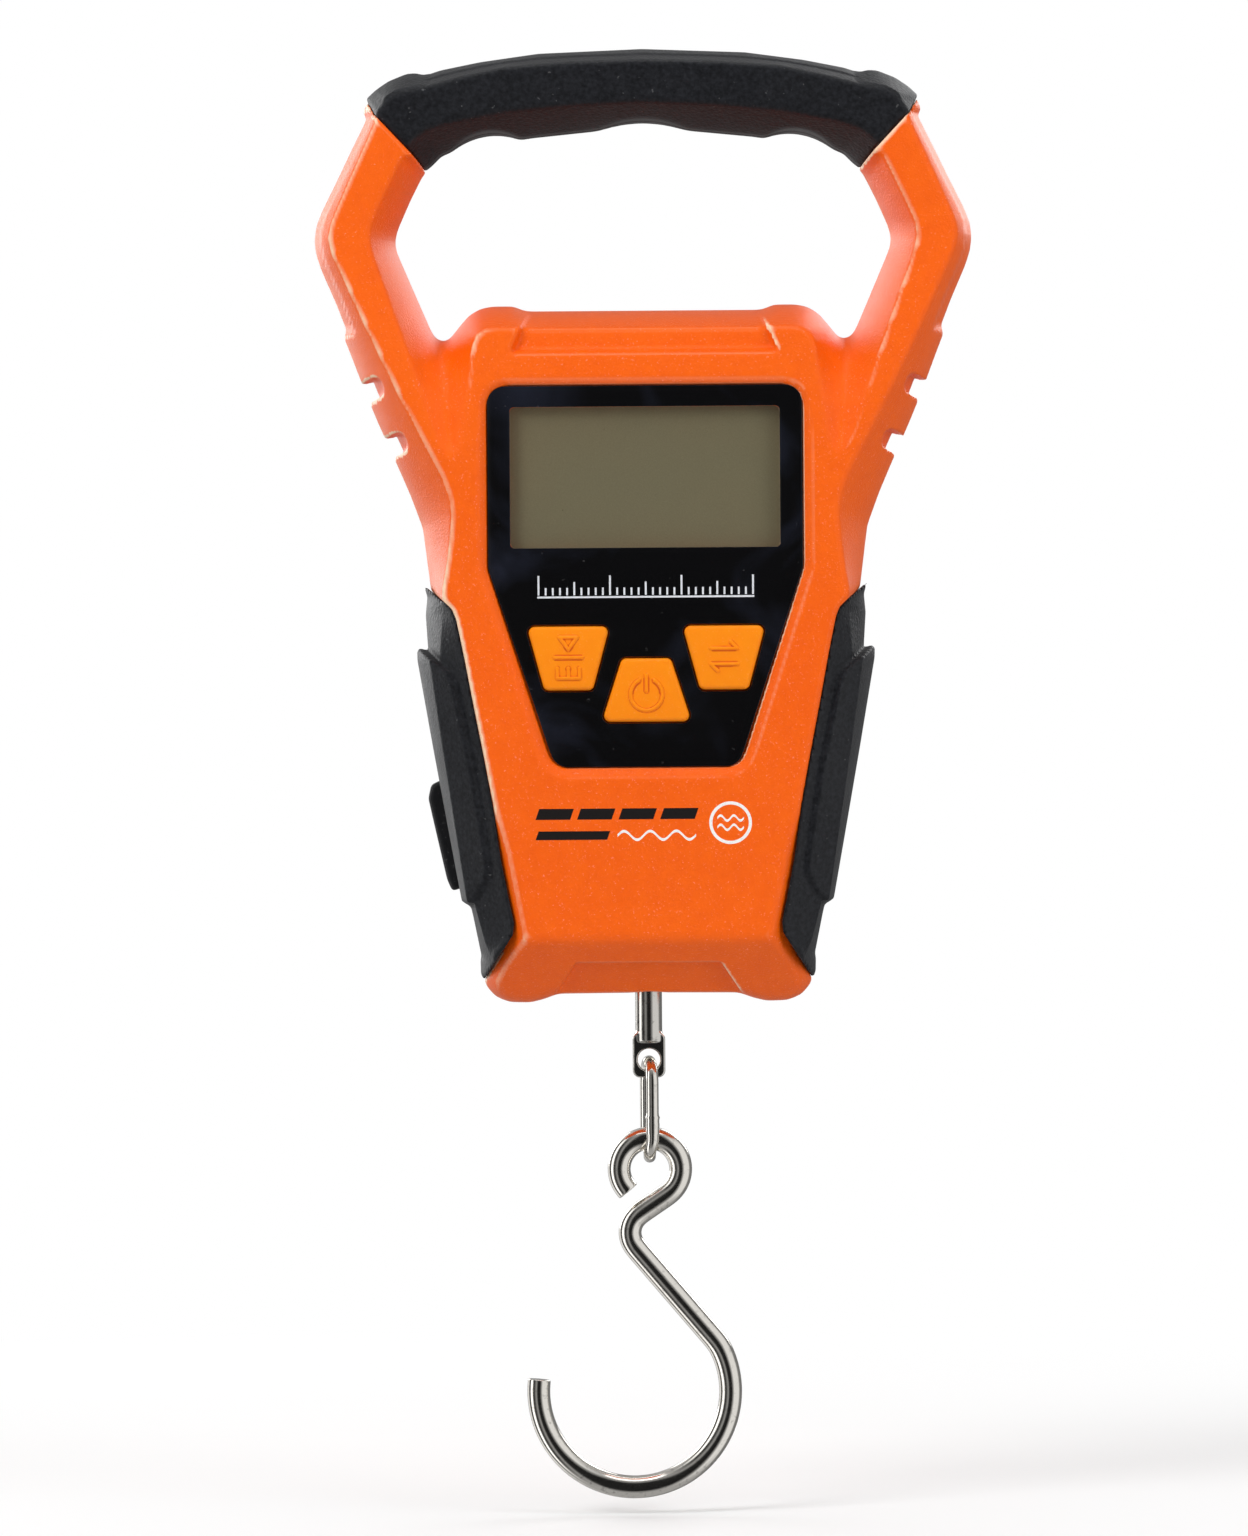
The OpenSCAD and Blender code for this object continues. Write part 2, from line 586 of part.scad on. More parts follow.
// Three widening rings, joined by two beads and backed by a plate.
module battery_springs() color(steel) for (i = [0, 1]) {
  side = cell_side(i);
  translate([-side * (cell_len / 2 - 0.4), battery_y, battery_z[i]]) {
    for (k = [0 : 2]) translate([-side * (0.45 + k * 0.6), 0, 0]) rotate([0, 90, 0])
      rotate_extrude() translate([2 + k * 0.5, 0]) circle(r = 0.3);
    for (angle = [0, 180]) translate([-side * 1.05, 0, 0]) rotate([angle, 0, 0])
      translate([0, 2.5, 0]) sphere(r = 0.5);
    block(span(0.25, -side * 2.15), span(4), span(4));
  }
}
module battery_plates() color(steel) for (i = [0, 1])
  block(span(0.25, cell_side(i) * (cell_len / 2 + 0.67)), span(4, battery_y),
    span(4, battery_z[i]));

// ---- tape measure ----
module tape_housing() color(dark_grey) difference() {
  y_rod(tape_at, 5.2, 12.95, cup_r);
  y_rod(tape_at, 5, 12.2, cup_r - 1);
  y_rod(tape_at, 5, 14, axle_r + 0.1);
  block([-20, tape_x], tape_depth(0.3), [28.4, 30]);
}
module tape_lid() color(dark_grey) difference() {
  union() {
    y_rod(tape_at, 4.4, 5.18, cup_r);
    for (place = tape_screw_at) y_rod(place, 4.4, 6.38, 1.9);
    for (angle = tape_screw_angles) y_rod(tape_polar(15.4, angle), 4.4, 5.18, 1.9);
  }
  y_rod(tape_at, 4, 6, axle_r + 0.1);
  for (place = tape_screw_at) y_rod(place, 4, 7, 0.85);
}
module tape_axle() color(steel) y_rod(tape_at, 4.45, 12.9, axle_r);
module tape_drum() color([0.9, 0.9, 0.88]) difference() {
  union() {
    y_rod(tape_at, 5.3, 5.75, 13.2);
    y_rod(tape_at, 5.3, 11.9, 7);
  }
  y_rod(tape_at, 5.75, 13, 5.9);
  y_rod(tape_at, 5, 13, axle_r + 0.06);
}
module tape_coil() color(tape_white) difference() {
  y_rod(tape_at, tape_front, tape_front + tape_w, coil_r);
  y_rod(tape_at, 5, 13, 7.02);
}
// Spiral of 3.5 turns, 0.25 thick.
spiral_count = 72;
function spiral_point(i, start_r) =
  let (angle = i * 1260 / spiral_count, radius = start_r + 3.1 * i / spiral_count)
    [radius * cos(angle), radius * sin(angle)];
module tape_spring() color(steel)
  translate([tape_x, 11.2, tape_z]) rotate([90, 0, 0]) linear_extrude(4.6) polygon(concat(
    [for (i = [0 : spiral_count]) spiral_point(i, 2.3)],
    [for (i = [spiral_count : -1 : 0]) spiral_point(i, 2.55)]));
module tape_tail() color(tape_white)
  block([-34.5, tape_x - 2], tape_depth(0), [tail_low, tail_top]);
tab = [[-30, 21], [-34.3, 19.6], [-35.2, 21.7], [-37.5, 31.9], [-38.4, 36],
  [-37.9, 38.3], [-36, 39.2], [-30, 39.2]];
module tape_tab() color(black) difference() {
  slab(3.6, 13.4) polygon(tab);
  block([-34.6, -29], tape_depth(0.05), [tail_low - 0.02, tail_top + 0.02]);
}
module tape_screws() color(steel) for (place = tape_screw_at)
  y_screw(place, 4.38, head_r = 1.5, head_h = 0.35, radius = 0.7, length = 6, toward = -1);
module case_screws() color(steel) for (place = case_screw_at)
  y_screw(place, 11.05, head_r = 2.5, head_h = 1.9, radius = 1.25, length = 18);

// ---- wires from the strain gauges and from the battery bay to the board ----
module gauge_wires() color([0.8, 0.1, 0.1]) for (k = [0 : 3])
  wire([13.6 + 0.9 * k, 0, 36], [0, -6.2, 12 + 0.8 * k], 0.35);
module battery_wires() color([0.1, 0.1, 0.1]) for (side = [-1, 1])
  wire([side * 28.2, 3, 88], [-side * 2.2, -8.9, 2], 0.5);

front_cover();
rear_cover();
handle_grip_front();
handle_grip_rear();
side_grip_left();
side_grip_right();
lens_panel();
panel_adhesive();
lcd_glass();
lcd_backlight();
zebra_strip();
main_board();
controller_chip();
amplifier_chip();
board_capacitors();
board_screws();
keypad_web();
tare_button();
power_button();
unit_button();
tare_contact();
power_contact();
unit_contact();
load_cell();
strain_gauges();
load_bracket();
bracket_bolt();
bracket_screws();
hanger_rod();
hanger_nut();
hanger_seal();
link_ring();
hook();
battery_door();
door_seal();
batteries();
battery_springs();
battery_plates();
tape_housing();
tape_lid();
tape_axle();
tape_drum();
tape_coil();
tape_spring();
tape_tail();
tape_tab();
tape_screws();
case_screws();
gauge_wires();
battery_wires();
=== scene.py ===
"""Hand-held hanging scale with a hook and a pull-out tape, built over its CAD pieces.

The load hangs down -Z, the display faces -Y and +X is on the right seen from the display side.
The rod axis is x = y = 0 and the case halves meet at y = 0. Shapes are worked out in
millimetres, most of them as signed fields on a grid (negative inside); the scene is in metres.
"""
import math
from collections import namedtuple
from functools import cached_property, reduce
import bpy, bmesh
import numpy as np
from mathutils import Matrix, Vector
from mathutils.geometry import delaunay_2d_cdt


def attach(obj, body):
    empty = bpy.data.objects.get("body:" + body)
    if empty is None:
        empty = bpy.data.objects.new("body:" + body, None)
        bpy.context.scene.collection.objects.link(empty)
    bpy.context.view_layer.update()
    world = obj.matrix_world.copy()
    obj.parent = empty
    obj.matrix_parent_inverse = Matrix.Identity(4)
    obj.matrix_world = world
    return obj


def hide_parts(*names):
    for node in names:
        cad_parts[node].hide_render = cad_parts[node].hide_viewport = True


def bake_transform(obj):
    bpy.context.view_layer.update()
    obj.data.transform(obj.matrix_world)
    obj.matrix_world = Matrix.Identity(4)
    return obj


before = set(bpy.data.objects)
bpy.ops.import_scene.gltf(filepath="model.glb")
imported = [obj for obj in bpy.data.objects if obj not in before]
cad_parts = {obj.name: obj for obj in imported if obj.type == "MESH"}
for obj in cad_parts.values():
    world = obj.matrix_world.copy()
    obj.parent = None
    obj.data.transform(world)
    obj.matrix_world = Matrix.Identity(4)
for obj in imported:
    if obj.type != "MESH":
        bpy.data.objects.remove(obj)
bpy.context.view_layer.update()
MM = 0.001

# ---------------------------------------------------------------- dimensions, mm
FACE_DEPTH = 15.0           # from the split plane to the front or rear face
SPLIT_GAP = 0.04            # each case half stops this far from the split plane
RIM_ANGLE_SLOPE = 0.35      # sideways lean of the case walls, per unit of depth
PANEL_Y = -14.0             # front of the display panel
PANEL_BACK_Y = -13.2
WINDOW = (-23.4, 23.4, 79.2, 103.7)     # left, right, bottom, top
WINDOW_RADIUS = 0.7
INK_HEIGHT = 0.012          # print stands this far out of its surface
KEY_RADIUS = 1.1            # corners of the keys
KEY_GAP = 0.3
TAPE_Y, TAPE_Z = 8.8, 29.17
TAPE_LENGTH = 34.2          # from the drum to the tab
TAPE_WIDTH = 5.9
TAB_Y = 8.5
HOOK_EYE_Z = -29.2

# each pair of case screws: x and z
SCREWS = [(side * x, z) for x, z in ((19.4, 16.6), (28.9, 62.6), (50.3, 131.5)) for side in (1, -1)]

# keys from left to right: name, centre x, bottom z, top z, width at the bottom and at the top
Key = namedtuple("Key", "name x bottom top foot head")
KEYS = (
    Key("tare", -13.5, 54.5, 65.6, 8.4, 14.4),
    Key("power", 0.0, 49.0, 60.0, 15.6, 8.5),
    Key("unit", 13.5, 54.5, 65.6, 8.4, 14.4),
)

# Outlines are (x, z) points of the right side, mirrored or met with |x| where they are used.
# Case outline at the split plane
SPLIT_OUTER = [
    (0, 1.7), (15.8, 1.6), (18.2, 0.7), (20.6, 0.1), (24.4, 0.2), (26.8, 1.2), (28.5, 3.2),
    (28.9, 5.6), (29.6, 10.5), (38.3, 78.5), (38.9, 83.2), (41.0, 88.9), (43.1, 93.8),
    (46.4, 101.2), (48.6, 106.5), (51.2, 113.4), (52.6, 117.0), (54.6, 122.2), (57.2, 128.2),
    (58.1, 131.0), (58.4, 133.4), (58.1, 136.2), (57.0, 139), (54.2, 144.6), (51.5, 150.2),
    (49.4, 154.4), (48.1, 157.7), (44, 166), (0, 170)]
# Hand opening at the split plane
SPLIT_OPENING = [
    (-9, 145.6), (38.0, 145.6), (38.9, 144.0), (40.7, 140.4), (42.9, 135.4), (43.4, 133.4),
    (43.1, 131.6), (40.9, 126.4), (38.5, 120.8), (37.2, 117.8), (36.4, 116.4), (35.2, 115.8),
    (34.2, 116.0), (33.4, 116.9), (32.4, 118.2), (30.6, 120.3), (28.6, 121.5), (26.6, 121.9),
    (22.6, 121.9), (21.2, 121.2), (20.2, 121.0), (-9, 121.0)]
# Case outline at the front and rear faces
FACE_OUTER = [
    (0, 4.0), (20.6, 4.0), (21.4, 12), (24.2, 26.5), (26.2, 33.8), (29.4, 49.6), (32.6, 64.5),
    (33.9, 67.4), (35.1, 69.6), (35.2, 72), (34.5, 75.5), (33.8, 80.4), (33.4, 85), (33.7, 87.9),
    (35, 91.6), (38.2, 97.8), (42.7, 106.5), (48, 117.6), (53.9, 130.6), (54.5, 133.4),
    (54.0, 136), (51.6, 141.6), (48.9, 147.6), (46.6, 152.6), (44, 160), (0, 168)]
# Hand opening at the faces
FACE_OPENING = [
    (-9, 147.6), (41.6, 147.6), (42.8, 145.2), (45.6, 139.4), (47.3, 135.6), (47.7, 133.2),
    (47.2, 130.6), (42.6, 117.6), (36.1, 98.9), (34.9, 96.6), (33.9, 95.5), (33.0, 95.6),
    (32.2, 97.4), (31.5, 99.9), (30.2, 109.3), (29.6, 114.4), (28.9, 116.2), (27.4, 117.1),
    (25.8, 117.3), (-9, 117.3)]
# Area of the rubber side grip
SIDE_BAND = [
    (35.3, 70.2), (33.7, 68.7), (33.0, 67), (31.7, 60.6), (30.1, 51.9), (28.5, 43.6),
    (26.9, 34.8), (25.5, 25.1), (24.2, 18.5), (23.3, 14.2), (23.5, 12.3), (27.8, 5.6),
    (28.7, 4.3), (60, 4.3), (60, 73.2), (38.8, 73.2)]
# Raised pad on the side grip
SIDE_PAD = [
    (60, 63.0), (39.2, 62.9), (36.4, 60.2), (33.9, 57.9), (32.9, 55.9), (31.4, 49),
    (29.9, 42.2), (28.1, 31.4), (27.1, 24.8), (27.1, 22.2), (28.8, 19.2), (30.8, 16.9),
    (60, 16.9)]
# Opening for the display panel
PANEL_OPENING = [
    (0, 41.2), (14.4, 41.2), (16.2, 42.1), (17.1, 43.9), (27.3, 75.6), (27.3, 104.3),
    (26.4, 106.4), (24.3, 107.3), (0, 107.3)]
# The display panel itself, all round
PANEL = [(15.9, 41.2), (27.3, 75.6), (27.3, 107.3), (-27.3, 107.3), (-27.3, 75.6), (-15.9, 41.2)]
# Area above the arms that the handle grips take
HANDLE_CUT = [
    (60, 172), (49.0, 158.4), (48.0, 157.75), (46.3, 154.5), (41.4, 149.3), (38.1, 145.75),
    (34, 141), (-9, 141), (-9, 172)]
# Bar of the case inside the handle, and the slightly larger room for it in the grips
HANDLE_BAR = [
    (-9, 157.6), (30.5, 154.6), (38.2, 152), (40.4, 148.4), (45.9, 155.0), (45.3, 156.0),
    (43.6, 157.0), (38, 158.4), (28, 161), (18, 162.4), (-9, 163.0)]
HANDLE_BAR_ROOM = [
    (-9, 157.5), (30.5, 154.5), (38.2, 151.9), (40.4, 148.2), (46.0, 155.0), (45.4, 156.1),
    (43.7, 157.1), (38, 158.5), (28, 161.1), (18, 162.5), (-9, 163.1)]
# Handle grip outline at the split plane and at its face
HANDLE_SPLIT = [
    (0, 166.3), (18, 165.6), (28.2, 164.2), (35.2, 162.8), (37.4, 162.05), (38.3, 161.9),
    (39.4, 162.25), (41, 162.15), (44.1, 160.9), (46.3, 159.4), (47.9, 157.9), (49.2, 156.2),
    (49.5, 152), (44, 144), (40.2, 144.4), (38.15, 145.75), (37.0, 146.6), (35.2, 148.4),
    (32.5, 149.5), (19.2, 151.5), (7.1, 152.7), (0, 153.0)]
HANDLE_FACE = [
    (0, 163.9), (12, 163.6), (24, 162.7), (32, 161.0), (38.4, 159.3), (42.2, 158.6),
    (44.0, 157.6), (45.4, 155.9), (47.3, 153), (44, 147.5), (41.6, 148.6), (39.6, 150.8),
    (37.6, 152.1), (34.5, 153.1), (31, 153.8), (24, 155.2), (12, 156.3), (0, 156.8)]
# Tape tab, on the left of the case (true x)
TAB = [
    (-30, 21), (-34.3, 19.6), (-35.2, 21.7), (-37.5, 31.9), (-38.4, 36), (-37.9, 38.3),
    (-36, 39.2), (-30, 39.2)]
# Arrow on the battery door, all round
DOOR_ARROW = [
    (0, 79.6), (3.2, 83.4), (1.3, 83.4), (1.3, 85.2), (-1.3, 85.2), (-1.3, 83.4), (-3.2, 83.4)]


# ---------------------------------------------------------------- fields
def smooth(t):
    """Eased step, 0 below t = 0 and 1 above t = 1."""
    t = np.clip(t, 0.0, 1.0)
    return t * t * (3 - 2 * t)


def length(first, second):
    return np.sqrt(first ** 2 + second ** 2)


def slab(value, centre, half):
    return np.abs(value - centre) - half


def polygon(points, x, z):
    """Signed distance to a closed polygon in the x-z plane."""
    starts = np.array(points, np.float32)
    squared = np.float32(1e9)
    inside = False
    for (ax, az), (bx, bz) in zip(starts, np.roll(starts, -1, 0)):
        run, rise = bx - ax, bz - az
        span = run * run + rise * rise
        if span < 1e-9:
            continue
        t = np.clip(((x - ax) * run + (z - az) * rise) / span, 0, 1)
        off_x, off_z = x - ax - t * run, z - az - t * rise
        squared = np.minimum(squared, off_x * off_x + off_z * off_z)
        crosses = (az > z) != (bz > z)
        with np.errstate(divide="ignore", invalid="ignore"):
            cross_x = ax + (z - az) * run / (rise if abs(rise) > 1e-9 else 1e-9)
        inside = inside ^ (crosses & (x < cross_x))
    distance = np.sqrt(squared)
    return np.where(inside, -distance, distance)


def mirrored(points):
    return list(points) + [(-x, z) for x, z in reversed(points) if abs(x) > 1e-6]


def segment(x, z, start, end):
    """Distance to a line segment."""
    run, rise = end[0] - start[0], end[1] - start[1]
    t = ((x - start[0]) * run + (z - start[1]) * rise) / (run * run + rise * rise)
    t = np.clip(t, 0, 1)
    return length(x - start[0] - t * run, z - start[1] - t * rise)


def rect(x, z, left, right, bottom, top, radius):
    """Signed distance to a rectangle with rounded corners."""
    out_x = np.abs(x - (left + right) / 2) - (right - left) / 2 + radius
    out_z = np.abs(z - (bottom + top) / 2) - (top - bottom) / 2 + radius
    outer = length(np.maximum(out_x, 0), np.maximum(out_z, 0))
    return outer + np.minimum(np.maximum(out_x, out_z), 0) - radius


def soften(field, step, sigma):
    """Gaussian blur of a field over x and z, which rounds its corners."""
    reach = max(1, int(3 * sigma / step))
    kernel = np.exp(-0.5 * (np.arange(-reach, reach + 1) * step / sigma) ** 2)
    kernel /= kernel.sum()
    for axis in (0, 2):
        pad = [(0, 0)] * 3
        pad[axis] = (reach, reach)
        padded = np.pad(field, pad, mode="edge")
        blurred = np.zeros_like(field)
        for i, weight in enumerate(kernel):
            part = [slice(None)] * 3
            part[axis] = slice(i, i + field.shape[axis])
            blurred += np.float32(weight) * padded[tuple(part)]
        field = blurred
    return field


def overlap(*fields):
    return reduce(np.maximum, fields)


def union(*fields):
    return reduce(np.minimum, fields)


def meet(first, second, radius):
    """Overlap with a rounded edge."""
    rounded = length(np.maximum(first + radius, 0), np.maximum(second + radius, 0))
    return np.minimum(np.maximum(first, second), -radius) + rounded


def weld(first, second, radius):
    """Union with a filleted joint."""
    return -meet(-first, -second, radius)


def cut(solid, tool, radius=0):
    """Take the tool out of the solid, with a rounded edge where a radius is given."""
    return meet(solid, -tool, radius) if radius else np.maximum(solid, -tool)


class Grid:
    """Sample points over a box; x, y and z are shaped to broadcast against each other."""

    def __init__(self, x_range, y_range, z_range, step):
        ranges = (x_range, y_range, z_range)
        self.step = step
        self.origin = np.array([low for low, high in ranges], float)
        x, y, z = ((np.arange(int((high - low) / step) + 2) * step + low).astype(np.float32)
                   for low, high in ranges)
        self.x, self.y, self.z = x[:, None, None], y[None, :, None], z[None, None, :]


def half_grid(rear, half_width, lip, reach, z_range, step):
    """Grid over the front or rear half, and the depth of its points from the split plane."""
    y_range = (-lip, reach) if rear else (-reach, lip)
    grid = Grid((-half_width, half_width), y_range, z_range, step)
    return grid, grid.y if rear else -grid.y


def fineness(step):
    return step


# ---------------------------------------------------------------- meshes from fields
CORNERS = [(i, j, k) for i in (0, 1) for j in (0, 1) for k in (0, 1)]


def trilinear(field, origin, step, points):
    place = (points - origin) / step
    cell = np.clip(np.floor(place).astype(int), 0, np.array(field.shape) - 2)
    part = place - cell
    total = np.zeros(len(points))
    for corner in CORNERS:
        weight_x, weight_y, weight_z = np.where(corner, part, 1 - part).T
        total += weight_x * weight_y * weight_z * field[tuple((cell + corner).T)]
    return total


def crossing_means(field, cells):
    """Mean place, in each cell, of the zero crossings on its edges."""
    total = np.zeros((len(cells), 3))
    crossings = np.zeros(len(cells))
    values = {corner: field[tuple((cells + corner).T)] for corner in CORNERS}
    for corner in CORNERS:
        for axis in range(3):
            if corner[axis]:
                continue
            other = corner[:axis] + (1,) + corner[axis + 1:]
            start, end = values[corner], values[other]
            crosses = (start < 0) != (end < 0)
            t = np.where(crosses, start / np.where(crosses, start - end, 1), 0)
            point = np.array(corner, float)[None, :].repeat(len(cells), 0)
            point[:, axis] += t
            total += np.where(crosses[:, None], point, 0)
            crossings += crosses
    return total / crossings[:, None]


def onto_surface(points, field, origin, step):
    """Points stepped along the gradient to the zero level, each kept near its start."""
    base = points.copy()
    reach = 0.25 * step
    for _ in range(2):
        value = trilinear(field, origin, step, points)
        slope = np.stack([(trilinear(field, origin, step, points + offset)
                           - trilinear(field, origin, step, points - offset)) / (2 * reach)
                          for offset in np.eye(3) * reach], 1)
        squared = np.maximum((slope ** 2).sum(1), 0.05)
        points = points - np.clip(value / squared, -0.5 * step, 0.5 * step)[:, None] * slope
    return base + np.clip(points - base, -0.6 * step, 0.6 * step)


def surface_quads(inside, numbers):
    """One quad round every grid edge that crosses the surface."""
    quads = []
    for axis in range(3):
        across, along = (axis + 1) % 3, (axis + 2) % 3
        edges = np.argwhere(np.diff(inside, axis=axis))
        ring = []
        for back_across, back_along in ((1, 1), (0, 1), (0, 0), (1, 0)):
            cell = edges.copy()
            cell[:, across] -= back_across
            cell[:, along] -= back_along
            ring.append(numbers[tuple(cell.T)])
        quad = np.stack(ring, 1)
        flip = ~inside[tuple(edges.T)]
        quad[flip] = quad[flip][:, ::-1]
        quads.append(quad)
    return np.concatenate(quads)


def neighbour_mean(values, quads):
    """Mean of the values at the points joined to each point by an edge."""
    starts, ends = quads.ravel(), np.roll(quads, -1, 1).ravel()
    n = len(values)
    count = np.bincount(starts, minlength=n) + np.bincount(ends, minlength=n)
    count = np.maximum(count, 1)
    return np.stack([(np.bincount(starts, values[ends, k], n)
                      + np.bincount(ends, values[starts, k], n)) / count
                     for k in range(values.shape[1])], 1)


def despike(points, quads, limit):
    """Pull lone points that stand off their neighbours back among them."""
    mean = neighbour_mean(points, quads)
    bad = np.linalg.norm(points - mean, axis=1) > limit
    points = points.copy()
    points[bad] = mean[bad]
    return points


def link_object(name, mesh, *materials):
    for material in materials:
        mesh.materials.append(material)
    ob = bpy.data.objects.new(name, mesh)
    bpy.context.scene.collection.objects.link(ob)
    return ob


def quad_mesh(name, points, quads, material):
    """Smooth-shaded object from arrays of points (mm) and quads."""
    mesh = bpy.data.meshes.new(name)
    n = len(quads)
    mesh.vertices.add(len(points))
    mesh.vertices.foreach_set("co", np.asarray(points * MM, np.float32).ravel())
    mesh.loops.add(n * 4)
    mesh.loops.foreach_set("vertex_index", quads.astype(np.int32).ravel())
    mesh.polygons.add(n)
    mesh.polygons.foreach_set("loop_start", np.arange(0, n * 4, 4, dtype=np.int32))
    mesh.polygons.foreach_set("loop_total", np.full(n, 4, np.int32))
    mesh.polygons.foreach_set("use_smooth", np.full(n, True))
    mesh.update(calc_edges=True)
    mesh.validate()
    return link_object(name, mesh, material)


def field_mesh(name, field, grid, material):
    """Surface-nets mesh of the zero level of a field, with a "corner" attribute."""
    step = grid.step
    origin = grid.origin - step
    field = np.pad(field.astype(np.float32), 1, constant_values=5.0)
    inside = field < 0
    count = np.zeros(tuple(size - 1 for size in field.shape), np.int8)
    for corner in CORNERS:
        count += inside[tuple(slice(c, size - 1 + c) for c, size in zip(corner, field.shape))]
    active = (count > 0) & (count < 8)
    cells = np.argwhere(active)
    numbers = np.full(active.shape, -1, np.int64)
    numbers[active] = np.arange(len(cells))

    points = origin + step * (cells + crossing_means(field, cells))
    points = onto_surface(points, field, origin, step)
    quads = surface_quads(inside, numbers)
    for _ in range(2):
        points = despike(points, quads, 0.42 * step)
    ob = quad_mesh(name, points, quads, material)

    # how far each point stands out of its neighbours: corners above zero, hollows below
    normals = np.empty(len(points) * 3, np.float32)
    ob.data.vertex_normals.foreach_get("vector", normals)
    offset = points - neighbour_mean(points, quads)
    corner = (offset * normals.reshape(-1, 3)).sum(1) / step
    corner = np.clip(corner, -0.5, 0.5)
    corner = 0.5 * corner + 0.5 * neighbour_mean(corner[:, None], quads)[:, 0]
    attribute = ob.data.attributes.new("corner", "FLOAT", "POINT")
    attribute.data.foreach_set("value", corner.astype(np.float32))
    return ob


def place(ob, body, slot, *replaced):
    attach(ob, body)
    if replaced:
        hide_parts(*replaced)


# ---------------------------------------------------------------- shader helpers
def rgba(color):
    """Opaque colour from a grey level or from red, green and blue."""
    return (color,) * 3 + (1,) if np.isscalar(color) else (*color, 1)


class Shader:
    """Adds nodes to the tree of a material or world.

    An input is given as a value, or as the socket or node (its first output) to link.
    """

    def __init__(self, owner):
        owner.use_nodes = True
        self.owner = owner
        self.tree = owner.node_tree

    def connect(self, socket, source):
        if isinstance(source, bpy.types.Node):
            source = source.outputs[0]
        if isinstance(source, bpy.types.NodeSocket):
            self.tree.links.new(source, socket)
        else:
            socket.default_value = rgba(source) if socket.type == "RGBA" else source

    def add(self, kind, *inputs, **settings):
        """New node; settings are named inputs or node properties."""
        node = self.tree.nodes.new("ShaderNode" + kind)
        for name, value in settings.items():
            if name in node.inputs:
                self.connect(node.inputs[name], value)
            else:
                setattr(node, name, value)
        for socket, source in zip(node.inputs, inputs):
            self.connect(socket, source)
        return node

    @cached_property
    def coords(self):
        return self.add("TexCoord").outputs["Object"]

    def noise(self, scale, detail, **settings):
        return self.add("TexNoise", Scale=scale, Detail=detail,
                        **{"Vector": self.coords, **settings})

    def math(self, operation, *inputs, clamp=False):
        return self.add("Math", *inputs, operation=operation, use_clamp=clamp)

    def mix(self, factor, first, second, blend="MIX"):
        return self.add("MixRGB", factor, first, second, blend_type=blend)

    def ramp(self, source, *stops, interpolation="LINEAR"):
        """Colour ramp through stops of (position, colour or grey level)."""
        node = self.add("ValToRGB", source)
        band = node.color_ramp
        for element, (position, color) in zip(band.elements, (stops[0], stops[-1])):
            element.position = position
            element.color = rgba(color)
        for position, color in stops[1:-1]:
            band.elements.new(position).color = rgba(color)
        band.interpolation = interpolation
        return node

    def surface(self, inputs):
        """Set inputs of the Principled BSDF and return the material."""
        sockets = self.tree.nodes["Principled BSDF"].inputs
        for name, source in inputs.items():
            self.connect(sockets[name], source)
        return self.owner


def material_shader(name):
    return Shader(bpy.data.materials.new(name))


def corner_level(shader):
    """The corner value of a field mesh, with level ground at 0.5."""
    attribute = shader.add("Attribute", attribute_name="corner")
    return shader.math("ADD", attribute.outputs["Fac"], 0.5)


# ---------------------------------------------------------------- materials
def moulded(name, color, dark, rough=0.42, grain=2600, relief=0.00003, mottle=0.35,
            speck=0.06, edge_highlight=0, hollow_shade=0, scatter=0):
    """Injection-moulded plastic: fine grain, slow colour variation, faint scuffs.

    relief is the height of the grain in metres; the painted edge highlight and the painted shade in
    hollows need a field mesh.
    """
    shader = material_shader(name)
    fine = shader.noise(grain, detail=3.0, Roughness=0.6)
    broad = shader.noise(28.0, detail=4.0, Roughness=0.55)
    medium = shader.noise(420.0, detail=6.0, Roughness=0.7)

    blotches = shader.math("MULTIPLY_ADD", broad, 0.7, medium)
    blotches = shader.ramp(blotches, (0.55, dark), (1.0, color))
    base = shader.mix(mottle, color, blotches)
    specks = shader.ramp(fine, (0.62, 0), (0.74, 1))
    base = shader.mix(shader.math("MULTIPLY", specks, speck), base, 1, blend="ADD")
    if edge_highlight:
        # painted highlight: outer corners lightened, most on the side that faces -X, where the key
        # light stands
        normal = shader.add("NewGeometry").outputs["Normal"]
        edges = shader.ramp(corner_level(shader), (0.535, 0), (0.60, 1))
        facing = shader.math("MULTIPLY_ADD", shader.add("SeparateXYZ", normal), -0.9, 0.15,
                             clamp=True)
        amount = shader.math("MULTIPLY", edges, facing)
        amount = shader.math("MULTIPLY", amount, edge_highlight, clamp=True)
        base = shader.mix(amount, base, (1.0, 0.68, 0.46))
    if hollow_shade:
        # painted shade: the moulded marks and other hollows darkened
        hollows = shader.ramp(corner_level(shader), (0.42, hollow_shade), (0.475, 0))
        base = shader.mix(hollows, base, (dark[0] * 0.72, dark[1] * 0.38, 0.0))

    # scuffs: stretched noise lines that lift the roughness
    stretched = shader.add("Mapping", shader.coords, Rotation=(0.3, 0.5, 0.8),
                           Scale=(900, 900, 60))
    scuffs = shader.noise(1.0, detail=2.0, Vector=stretched)
    scuffs = shader.ramp(scuffs, (0.66, rough), (0.74, rough + 0.045))
    bump = shader.add("Bump", Strength=0.55, Distance=relief, Height=fine)
    if scatter:
        shader.surface({
            "Subsurface Weight": scatter,
            "Subsurface Radius": (0.0022, 0.0009, 0.0003),
            "Subsurface Scale": 1.0})
    return shader.surface({
        "Base Color": base,
        "Roughness": shader.math("MULTIPLY_ADD", broad, 0.10, scuffs),
        "Normal": bump,
        "Coat Roughness": 0.3,
        "IOR": 1.5,
        "Specular IOR Level": 0.34})


